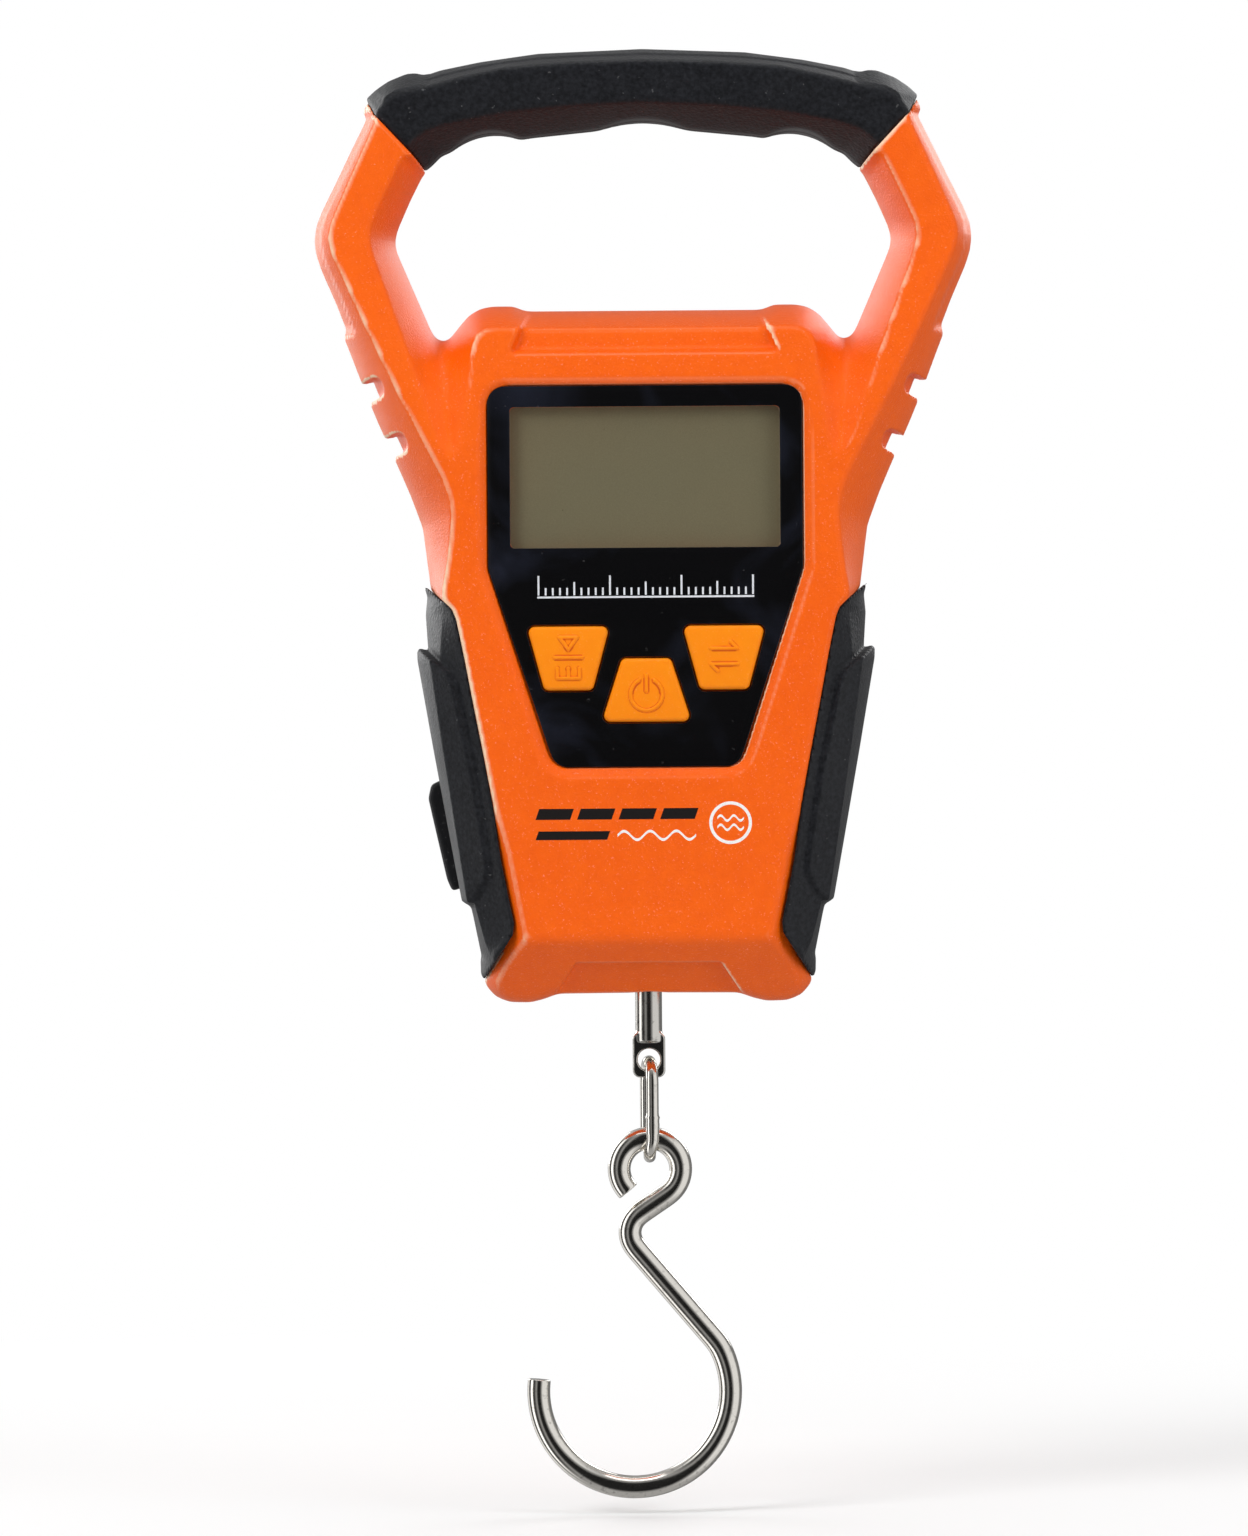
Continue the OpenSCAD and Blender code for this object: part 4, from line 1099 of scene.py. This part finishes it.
def tube(name, path, normal, radii, sides, material, chamfer=None):
    """Round wire along points in a plane with the given normal, with one radius per point.

    With a chamfer its ends are rounded off; without one the wire is a closed ring.
    """
    points, normal, radii = np.array(path, float), np.array(normal, float), np.array(radii)
    closed = chamfer is None
    if closed:
        tangents = np.roll(points, -1, 0) - np.roll(points, 1, 0)
    else:
        tangents = np.gradient(points, axis=0)
    tangents /= np.linalg.norm(tangents, axis=1)[:, None]
    if not closed:
        end_rings = 5
        turn = np.linspace(0, math.pi / 2, end_rings)
        inset, shrink = chamfer * (1 - np.sin(turn)), chamfer * (1 - np.cos(turn))
        points = np.concatenate([points[0] + tangents[0] * inset[::-1, None], points[1:-1],
                                 points[-1] - tangents[-1] * inset[:, None]])
        radii = np.concatenate([radii[0] - shrink[::-1], radii[1:-1], radii[-1] - shrink])
        tangents = np.concatenate([np.repeat(tangents[:1], end_rings, 0), tangents[1:-1],
                                   np.repeat(tangents[-1:], end_rings, 0)])
    binormals = np.cross(tangents, normal)
    binormals /= np.linalg.norm(binormals, axis=1)[:, None]
    angles = np.arange(sides) * 2 * math.pi / sides
    around = (np.cos(angles)[None, :, None] * normal
              + np.sin(angles)[None, :, None] * binormals[:, None, :])
    vertices = (points[:, None, :] + radii[:, None, None] * around).reshape(-1, 3)
    rings = len(points)
    faces = []
    for i in range(rings if closed else rings - 1):
        here, after = i * sides, (i + 1) % rings * sides
        for j in range(sides):
            k = (j + 1) % sides
            faces.append((here + j, after + j, after + k, here + k))
    if not closed:
        faces.append(tuple(range(sides)))
        faces.append(tuple(range(rings * sides - 1, (rings - 1) * sides - 1, -1)))
    return shade(solid_object(name, vertices, faces, material), 50)


def bar(left, right, bottom, top, lean=0):
    """Corners of an upright bar, its top shifted to +X by the lean times its height."""
    shift = (top - bottom) * lean
    return [(left, bottom), (right, bottom), (right + shift, top), (left + shift, top)]


# ---------------------------------------------------------------- display panel and keys
def build_panel():
    key_holes = [round_poly(grow(key_corners(key), KEY_GAP), KEY_RADIUS + KEY_GAP, 8)
                 for key in KEYS]
    window_hole = round_poly(bar(*WINDOW), WINDOW_RADIUS, 6)
    pane = round_poly(bar(-23.41, 23.41, 79.19, 103.71), WINDOW_RADIUS, 6)
    parts = [
        plate([round_poly(PANEL, 3.0, 12), window_hole] + key_holes,
              PANEL_Y, PANEL_BACK_Y, PANEL_BLACK, bevel=0.09, rings=2),
        plate([pane], -13.985, -13.25, CLEAR, bevel=0.01)]

    # printed row of 31 ticks over a line
    def printed(outline):
        parts.append(plate([outline], PANEL_Y - INK_HEIGHT, -13.99, INK_WHITE))

    for i in range(31):
        x = -18.6 + 37.2 * i / 30
        height = 3.4 if i % 10 == 0 else (2.3 if i % 5 == 0 else 1.3)
        printed(bar(x - 0.16, x + 0.16, 71.0, 71.0 + height))
    printed(bar(-18.8, 18.8, 70.5, 70.82))
    ob = shade(join("display_panel", parts), 35)
    place(ob, "casing", "gloss_black", "lens_panel")


GLYPH_HALF_WIDTH = 0.26


def strokes(x, z, *lines):
    """Field of lines drawn through lists of points."""
    return union(*(segment(x, z, start, end) for line in lines
                   for start, end in zip(line[:-1], line[1:]))) - GLYPH_HALF_WIDTH


def glyph(key, x, z):
    mid = key.x
    if key.name == "power":
        # ring open at the top with an upright bar
        gap = overlap(np.abs(x) - 1.15, 53.9 - z)
        ring = slab(length(x, z - 53.7), 2.75, GLYPH_HALF_WIDTH)
        return union(cut(ring, gap), strokes(x, z, [(0, 54.3), (0, 57.1)]))
    if key.name == "tare":
        # an open triangle over a bar, and a short ruler
        ruler = [[(mid + end, 56.6), (mid + end, 58.3)] for end in (-1.9, 0.0, 1.9)]
        return strokes(
            x, z, [(mid - 1.5, 63.7), (mid + 1.5, 63.7), (mid, 61.6), (mid - 1.5, 63.7)],
            [(mid - 2.4, 60.2), (mid + 2.4, 60.2)],
            [(mid - 1.9, 56.6), (mid + 1.9, 56.6)], *ruler)
    # two opposed arrows
    return strokes(x, z, [(mid - 2.3, 61.6), (mid + 2.3, 61.6), (mid + 1.1, 62.8)],
                   [(mid + 2.3, 58.9), (mid - 2.3, 58.9), (mid - 1.1, 57.7)])


def build_keys():
    margin = 1.6
    for key in KEYS:
        half_width = max(key.foot, key.head) / 2 + margin
        grid = Grid((key.x - half_width, key.x + half_width), (-15.5, -9.2),
                    (key.bottom - margin, key.top + margin), fineness(0.15))
        x, z, depth = grid.x, grid.z, -grid.y
        outline = key_field(key, x, z)
        fall = 0.16 * (((x - key.x) / 7.0) ** 2 + ((z - (key.bottom + key.top) / 2) / 6.0) ** 2)
        solid = meet(outline, depth - (14.92 - fall), 0.75)
        solid = overlap(solid, 11.5 - depth)
        # mark sunk into the top
        mark = smooth(0.5 - glyph(key, x, z) / 0.22)
        solid = np.where(depth > 13.8, solid - 0.32 * mark, solid)
        flange = overlap(outline - 0.8, slab(depth, 11.175, 0.375))
        stem = overlap(outline + 2.0, slab(depth, 10.22, 0.62))
        solid = union(solid, flange, stem)
        name = key.name + "_button"
        ob = field_mesh(name + "_cap", solid, grid, KEY)
        place(ob, key.name + "_key", "key_silicone", name)


def circle(centre_x, centre_z, radius):
    return [(centre_x + radius * math.cos(t), centre_z + radius * math.sin(t))
            for t in np.linspace(0, 2 * math.pi, 65)[:-1]]


def wave(left, width, centre_z, height, waves, half_line, steps):
    """Outline of a sine line."""
    line = [(left + width * i / steps,
             centre_z + height * math.sin(i / steps * waves * 2 * math.pi))
            for i in range(steps + 1)]
    return ([(x, z - half_line) for x, z in line]
            + [(x, z + half_line) for x, z in line[::-1]])


def build_marks():
    """Plain printed bars, a wave and a ring with two waves on the lower front face."""
    lean = 0.35
    ring_x, ring_z, ring_radius = 14.4, 31.4, 3.7
    marks = [(INK_BLACK, [bar(left, right, 32.1, 34.0, lean)]) for left, right in
             ((-19.4, -13.4), (-12.2, -6.2), (-5.0, 1.0), (2.2, 8.2))]
    marks += [
        (INK_BLACK, [bar(-19.4, -7.0, 28.6, 30.1, lean)]),
        (INK_PALE, [wave(-5.2, 13.6, 29.3, height=0.75, waves=3, half_line=0.24, steps=60)]),
        (INK_PALE, [circle(ring_x, ring_z, ring_radius),
                    circle(ring_x, ring_z, ring_radius - 0.55)])]
    marks += [
        (INK_PALE, [wave(ring_x - 2.3, 4.6, z, height=0.45, waves=2, half_line=0.22, steps=40)])
        for z in (32.2, 30.6)]
    ob = join("printed_marks", [plate(loops, -FACE_DEPTH - INK_HEIGHT, -14.96, material)
                                for material, loops in marks])
    place(ob, "casing", "orange_plastic")


# ---------------------------------------------------------------- hanger, link and hook
def build_hanger():
    grid = Grid((-4.2, 4.2), (-3.4, 3.4), (-14, 12), fineness(0.13))
    x, y, z = grid.x, grid.y, grid.z
    # round shank, and a flat tab with a hole below it
    shank = meet(meet(length(x, y) - 2.35, -6.9 - z, 0.35), z - 10.7, 0.2)
    tab = meet(rect(x, z, -2.85, 2.85, -13.15, -5.2, 1.25), np.abs(y) - 1.5, 0.35)
    solid = cut(weld(shank, tab, 0.35), length(x, z + 10.05) - 1.95, 0.3)
    ob = field_mesh("hanger_rod_polished", solid, grid, NICKEL)
    place(ob, "casing", "plated_steel", "hanger_rod")
    # ridged upper end, inside the case
    pitch, ridge = 0.7, 0.12
    heights = [10.5 + 11.5 * i / 139 for i in range(140)]
    radii = [2.0 - ridge * (0.5 + 0.5 * math.cos(z / pitch * 2 * math.pi)) for z in heights]
    ob = tube("hanger_thread", [(0, 0, z) for z in heights], (0, 1, 0), radii, 24, NICKEL,
              chamfer=0.2)
    place(ob, "casing", "plated_steel")


def build_link():
    """Long closed link, turned about Z; its plane is near Y-Z."""
    top, bottom, bend_radius, wire_radius = -14.3, -23.1, 3.9, 1.08
    yaw = math.radians(8)
    # swellings on one straight: height, z below the origin, width
    swellings = ((0.20, 20.1, 0.32), (0.13, 21.4, 0.8), (0.12, 22.6, 0.28))

    def bend(centre_z, start):
        return [(bend_radius * math.cos(math.radians(a)),
                 centre_z + bend_radius * math.sin(math.radians(a)))
                for a in np.linspace(start, start + 180, 46)]

    outline = bend(top, 0)
    outline += [(-bend_radius, z) for z in np.linspace(top, bottom, 24)[1:-1]]
    outline += bend(bottom, 180)
    outline += [(bend_radius, z) for z in np.linspace(bottom, top, 24)[1:-1]]
    path, radii = [], []
    for across, z in outline:
        # the lower bend is untwisted where the hook turns on it
        twist = yaw * smooth((z + 26.9) / 3.2)
        path.append((across * math.sin(twist), -across * math.cos(twist), z))
        swell = 0.0
        if across > 3.0 and -23.6 < z < -18.6:
            swell = sum(height * math.exp(-((z + below) / width) ** 2)
                        for height, below, width in swellings)
        radii.append(wire_radius + swell)
    ob = tube("link_wire", path, (math.cos(yaw), math.sin(yaw), 0), radii, 32, CHROME)
    place(ob, "link", "chrome", "link_ring")


# course of the hook wire from the end of its eye: bend radius and degrees turned
# (anticlockwise above zero), or a radius of 0 and the length of a straight
HOOK_COURSE = ((5.43, -282.0), (0, 5.9), (4.0, 96.3), (0, 21.4), (7.9, -15.7), (16.8, -212.0))


def build_hook():
    x, z = 5.4 * math.cos(math.radians(226)), 5.4 * math.sin(math.radians(226))
    heading = 136.0
    points = [(x, z)]
    for radius, amount in HOOK_COURSE:
        start_x, start_z = x, z
        if radius == 0:
            n = int(amount / 0.5)
            ahead = math.radians(heading)
            for i in range(1, n + 1):
                points.append((start_x + amount * i / n * math.cos(ahead),
                               start_z + amount * i / n * math.sin(ahead)))
        else:
            quarter = 90 if amount > 0 else -90
            centre_x = start_x + radius * math.cos(math.radians(heading + quarter))
            centre_z = start_z + radius * math.sin(math.radians(heading + quarter))
            n = int(abs(amount) * radius / 28.0)
            for i in range(1, n + 1):
                a = math.radians(heading - quarter + amount * i / n)
                points.append((centre_x + radius * math.cos(a), centre_z + radius * math.sin(a)))
            heading += amount
        x, z = points[-1]
    # bends run smoothly into the straights
    course = np.array(points)
    for _ in range(4):
        course[1:-1] = 0.25 * course[:-2] + 0.5 * course[1:-1] + 0.25 * course[2:]
    path = [(x, 0, z + HOOK_EYE_Z) for x, z in course]
    ob = tube("hook_wire", path, (0, 1, 0), [2.0] * len(path), 48, CHROME, chamfer=0.22)
    place(ob, "hook", "chrome", "hook")


# ---------------------------------------------------------------- tape tab and tape
def build_tab():
    grid = Grid((-39.4, -29.4), (2.8, 14.2), (18.6, 40.4), fineness(0.2))
    x, y, z = grid.x, grid.y, grid.z
    solid = meet(soften(polygon(TAB, x, z), grid.step, 0.35), slab(y, TAB_Y, 4.9), 0.8)
    # grooves across the outer side, which leave ribs for grip
    outer_z, outer_x = [19.6, 21.7, 31.9, 36], [-34.3, -35.2, -37.5, -38.4]
    for i in range(5):
        groove_z = 24.6 + 2.3 * i
        groove_x = np.interp(groove_z, outer_z, outer_x)
        groove = length(x - groove_x + 0.1, z - groove_z) - 0.62
        solid = cut(solid, overlap(groove, slab(y, TAB_Y, 3.6)), 0.2)
    # slot for the end of the tape
    slot = overlap(slab(z, TAPE_Z, 0.28), slab(y, TAPE_Y, 3.1), -34.7 - x)
    ob = field_mesh("tape_tab_grip", cut(solid, slot), grid, BLACK)
    place(ob, "tab", "tab_plastic", "tape_tab")


def build_tape():
    """The printed tape, from the drum to the tab; its print also holds a metre of payout, squeezed
    into this length.
    """
    lengths, strips, payout = 700, 6, 1000.0
    points, along, quads = [], [], []
    for i in range(lengths + 1):
        t = i / lengths
        run = TAPE_LENGTH * (1 - t) + payout * (1 - smooth(t))
        for lift in (-0.03, 0.12):
            for j in range(strips + 1):
                v = j / strips
                curve = 0.13 * (1 - (2 * v - 1) ** 2)
                points.append((-TAPE_LENGTH * t, TAPE_Y - TAPE_WIDTH / 2 + TAPE_WIDTH * v,
                               TAPE_Z - 0.07 - curve * 0.5 + lift))
                along.append((run, v, 0))
    # each station holds a lower and an upper row of points
    row = strips + 1
    station = 2 * row
    for i in range(lengths):
        a, b = i * station, (i + 1) * station
        for j in range(strips):
            quads.append((a + j, b + j, b + j + 1, a + j + 1))
            quads.append((a + row + j, a + row + j + 1, b + row + j + 1, b + row + j))
        quads.append((a, a + row, b + row, b))
        quads.append((a + strips, b + strips, b + row + strips, a + row + strips))
    for end in (0, lengths * station):
        for j in range(strips):
            quad = (end + j, end + j + 1, end + row + j + 1, end + row + j)
            quads.append(quad if end == 0 else quad[::-1])
    ob = quad_mesh("tape_strip", np.array(points), np.array(quads), TAPE)
    attribute = ob.data.attributes.new("along", "FLOAT_VECTOR", "POINT")
    attribute.data.foreach_set("vector", np.array(along, np.float32).ravel())
    shade(ob, 40)
    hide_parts("tape_tail")
    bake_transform(ob)


# ---------------------------------------------------------------- battery door
def build_door():
    grid = Grid((-26.6, 26.6), (11, 15.6), (67.4, 96), fineness(0.26))
    x, y, z = grid.x, grid.y, grid.z
    solid = meet(rect(x, z, -25.85, 25.85, 68.25, 94.2, 0.9), y - FACE_DEPTH, 0.35)
    solid = overlap(solid, 13.3 - y)
    # finger scoop with ribs
    scoop = rect(x, z, -8, 8, 86.4, 93.6, 2.4)
    solid = cut(solid, meet(scoop, 14.35 - y, 0.5), 0.3)
    for i in range(4):
        rib = rect(x, z, -6, 6, 87.35 + 1.55 * i, 88.05 + 1.55 * i, 0.3)
        solid = weld(solid, meet(rib, y - 14.95, 0.25), 0.15)
    # grooves: the outline of an arrow, and a frame left open in the middle
    arrow = slab(polygon(DOOR_ARROW, x, z), 0, 0.28)
    solid = cut(solid, overlap(arrow, 14.72 - y), 0.12)
    border = slab(rect(x, z, -22.6, 22.6, 71.3, 91.2, 1.6), 0, 0.22)
    solid = cut(solid, overlap(border, 9.4 - np.abs(x), 14.75 - y), 0.12)
    # catch at the top edge
    inner_catch = overlap(slab(x, 0, 5.1), slab(y, 12.6, 0.8), slab(z, 92.15, 0.55))
    outer_catch = overlap(slab(x, 0, 5.1), slab(y, 13.85, 0.55), slab(z, 94.6, 0.7))
    ob = field_mesh("battery_door_shell", union(solid, inner_catch, outer_catch), grid, ORANGE)
    place(ob, "door", "orange_plastic", "battery_door")


# ---------------------------------------------------------------- CAD pieces that stay
# slot, material, pieces
KEPT = (
    ("black_foam", FOAM, "panel_adhesive"),
    ("lcd", LCD, "lcd_glass"),
    ("diffuser", DIFFUSER, "lcd_backlight"),
    ("elastomer", ELASTOMER, "zebra_strip"),
    ("board_green", BOARD, "main_board"),
    ("chip_black", CHIP, "controller_chip amplifier_chip"),
    ("gauge_foil", FOIL, "board_capacitors"),
    ("zinc_steel", ZINC, "board_screws"),
    ("key_silicone", KEY, "keypad_web"),
    ("wire_black", WIRE_BLACK, "tare_contact power_contact unit_contact"),
    ("cell_aluminium", ALUMINIUM, "load_cell"),
    ("gauge_foil", FOIL, "strain_gauges"),
    ("zinc_steel", ZINC, "load_bracket bracket_bolt bracket_screws"),
    ("plated_steel", NICKEL, "hanger_nut"),
    ("grip_rubber", RUBBER, "hanger_seal"),
    ("black_foam", FOAM, "door_seal"),
    ("battery_shell", BATTERY, "batteries"),
    ("plated_steel", NICKEL, "battery_springs battery_plates"),
    ("dark_plastic", DARK, "tape_housing tape_lid"),
    ("plated_steel", NICKEL, "tape_axle"),
    ("white_plastic", WHITE, "tape_drum"),
    ("tape_yellow", WHITE, "tape_coil"),
    ("zinc_steel", ZINC, "tape_spring tape_screws case_screws"),
    ("wire_red", WIRE_RED, "gauge_wires"),
    ("wire_black", WIRE_BLACK, "battery_wires"),
)
BEVELLED = ("case_screws", "batteries", "battery_plates", "load_cell", "load_bracket",
            "controller_chip", "tape_housing", "tape_lid", "tape_drum", "lcd_backlight")


def dress_kept_pieces():
    for slot, material, names in KEPT:
        for name in names.split():
            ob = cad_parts[name]
            ob.data.materials.clear()
            ob.data.materials.append(material)
            if name in BEVELLED:
                bevel = ob.modifiers.new("edge", "BEVEL")
                bevel.width = 0.00012
                bevel.segments = 2
                bevel.limit_method = "ANGLE"
                bevel.angle_limit = math.radians(40)


# ---------------------------------------------------------------- stage, in metres
# brightness of the reflected surround by bearing: degrees from -Y towards +X, grey level
SURROUND = (
    (-180, 0.36), (-150, 0.62), (-138, 0.95), (-118, 0.95), (-110, 0.05), (-92, 0.04),
    (-84, 1.9), (-72, 1.9), (-58, 0.03), (-44, 0.05), (-24, 0.36), (-12, 0.02), (14, 0.012),
    (27, 0.35), (38, 0.9), (88, 0.9), (106, 0.22), (165, 0.20), (180, 0.36))

# area lights: name, place, height aimed at on the Z axis, width, height, watts, seen in gloss
LIGHTS = (
    ("key", (-0.75, -0.85, 0.75), 0.06, 0.6, 0.8, 9.5, False),
    ("fill", (0.85, -0.75, 0.35), 0.05, 0.7, 0.9, 5.5, False),
    ("top", (0.0, -0.1, 1.0), 0.05, 0.8, 0.8, 3.0, True),
    ("rim", (0.5, 0.85, 0.5), 0.05, 0.6, 0.6, 3.5, True),
    ("rim2", (-0.6, 0.8, 0.3), 0.05, 0.6, 0.6, 3.5, True),
)


def build_world():
    """White to the camera, dim to diffuse rays, banded light and dark to glossy rays."""
    world = bpy.data.worlds.new("studio")
    bpy.context.scene.world = world
    shader = Shader(world)
    direction = shader.add("TexCoord").outputs["Generated"]
    x, y, z = shader.add("SeparateXYZ", direction).outputs[:3]
    bearing = shader.math("ARCTAN2", x, shader.math("MULTIPLY", y, -1.0))
    bearing = shader.math("MULTIPLY_ADD", bearing, 0.5 / math.pi, 0.5)
    bands = shader.ramp(bearing, *((0.5 + degrees / 360.0, level) for degrees, level in SURROUND))
    # the bands fade to one grey overhead and underfoot
    steep = shader.ramp(shader.math("ABSOLUTE", z), (0.0, 0.0), (0.60, 0.0), (0.88, 1.0),
                        (1.0, 1.0))
    banded = shader.tree.nodes["Background"]
    shader.connect(banded.inputs["Color"], shader.mix(steep, bands, 0.42))
    shader.connect(banded.inputs["Strength"], 0.95)
    dim = shader.add("Background", Color=1.0, Strength=0.30)
    white = shader.add("Background", Color=1.0, Strength=1.0)
    ray = shader.add("LightPath").outputs
    unseen = shader.add("MixShader", ray["Is Glossy Ray"], dim, banded)
    seen = shader.add("MixShader", ray["Is Camera Ray"], unseen, white)
    shader.connect(shader.tree.nodes["World Output"].inputs[0], seen)


def floor_white():
    """Matt white that runs out into the white surround."""
    shader = material_shader("floor_white")
    paint = shader.ramp(shader.add("TexNoise", Scale=3.0, Detail=2.0), (0.3, 0.90), (0.7, 0.92))
    # darker to all but the camera, so it throws back less light
    camera_ray = shader.add("LightPath").outputs["Is Camera Ray"]
    shader.surface({
        "Roughness": 1.0,
        "Specular IOR Level": 0.0,
        "Base Color": shader.mix(camera_ray, 0.62, paint)})
    position = shader.add("NewGeometry").outputs["Position"]
    distance = shader.add("VectorMath", position, operation="LENGTH").outputs["Value"]
    fade = shader.ramp(distance, (0.22, 0), (0.5, 1))
    camera_ray = shader.add("LightPath").outputs["Is Camera Ray"]
    glow = shader.add("Emission", 1.0, shader.math("MULTIPLY_ADD", camera_ray, 0.5, 0.5))
    nodes = shader.tree.nodes
    mixed = shader.add("MixShader", fade, nodes["Principled BSDF"], glow)
    shader.connect(nodes["Material Output"].inputs[0], mixed)
    return shader.owner


def build_floor():
    bpy.ops.mesh.primitive_plane_add(size=12, location=(0, 0, -0.0895))
    floor = bpy.context.object
    floor.name = "floor"
    floor.data.materials.append(floor_white())
    floor.visible_glossy = False
    return floor


def build_light(name, location, aim_z, width, height, watts, glossy):
    data = bpy.data.lights.new(name, "AREA")
    data.shape = "RECTANGLE"
    data.size = width
    data.size_y = height
    data.energy = watts
    light = link_object(name, data)
    light.location = location
    direction = Vector((0, 0, aim_z)) - Vector(location)
    light.rotation_euler = direction.to_track_quat("-Z", "Y").to_euler()
    light.visible_glossy = glossy
    return light


def build_camera():
    distance, view_height, sensor = 1.5, 0.2688, 36.0
    data = bpy.data.cameras.new("camera")
    camera = link_object("camera", data)
    data.sensor_fit = "AUTO"
    data.sensor_width = sensor
    data.lens = sensor * distance / view_height
    data.clip_start = 0.05
    data.clip_end = 30
    camera.location = Vector((-0.0040, 0, 0.0410)) + Vector((0, -distance, 0))
    camera.rotation_euler = (math.radians(90), math.radians(0.42), 0)
    bpy.context.scene.camera = camera
    return camera


def build_stage():
    build_world()
    items = [build_floor()]
    items += [build_light(*row) for row in LIGHTS]
    items.append(build_camera())
    bpy.context.scene.view_settings.view_transform = "Standard"


# ---------------------------------------------------------------- build
build_case_half(rear=False)
build_case_half(rear=True)
build_handle_grip(rear=False)
build_handle_grip(rear=True)
build_side_grip(-1)
build_side_grip(1)
build_panel()
build_keys()
build_marks()
build_hanger()
build_link()
build_hook()
build_tab()
build_tape()
build_door()
dress_kept_pieces()
build_stage()
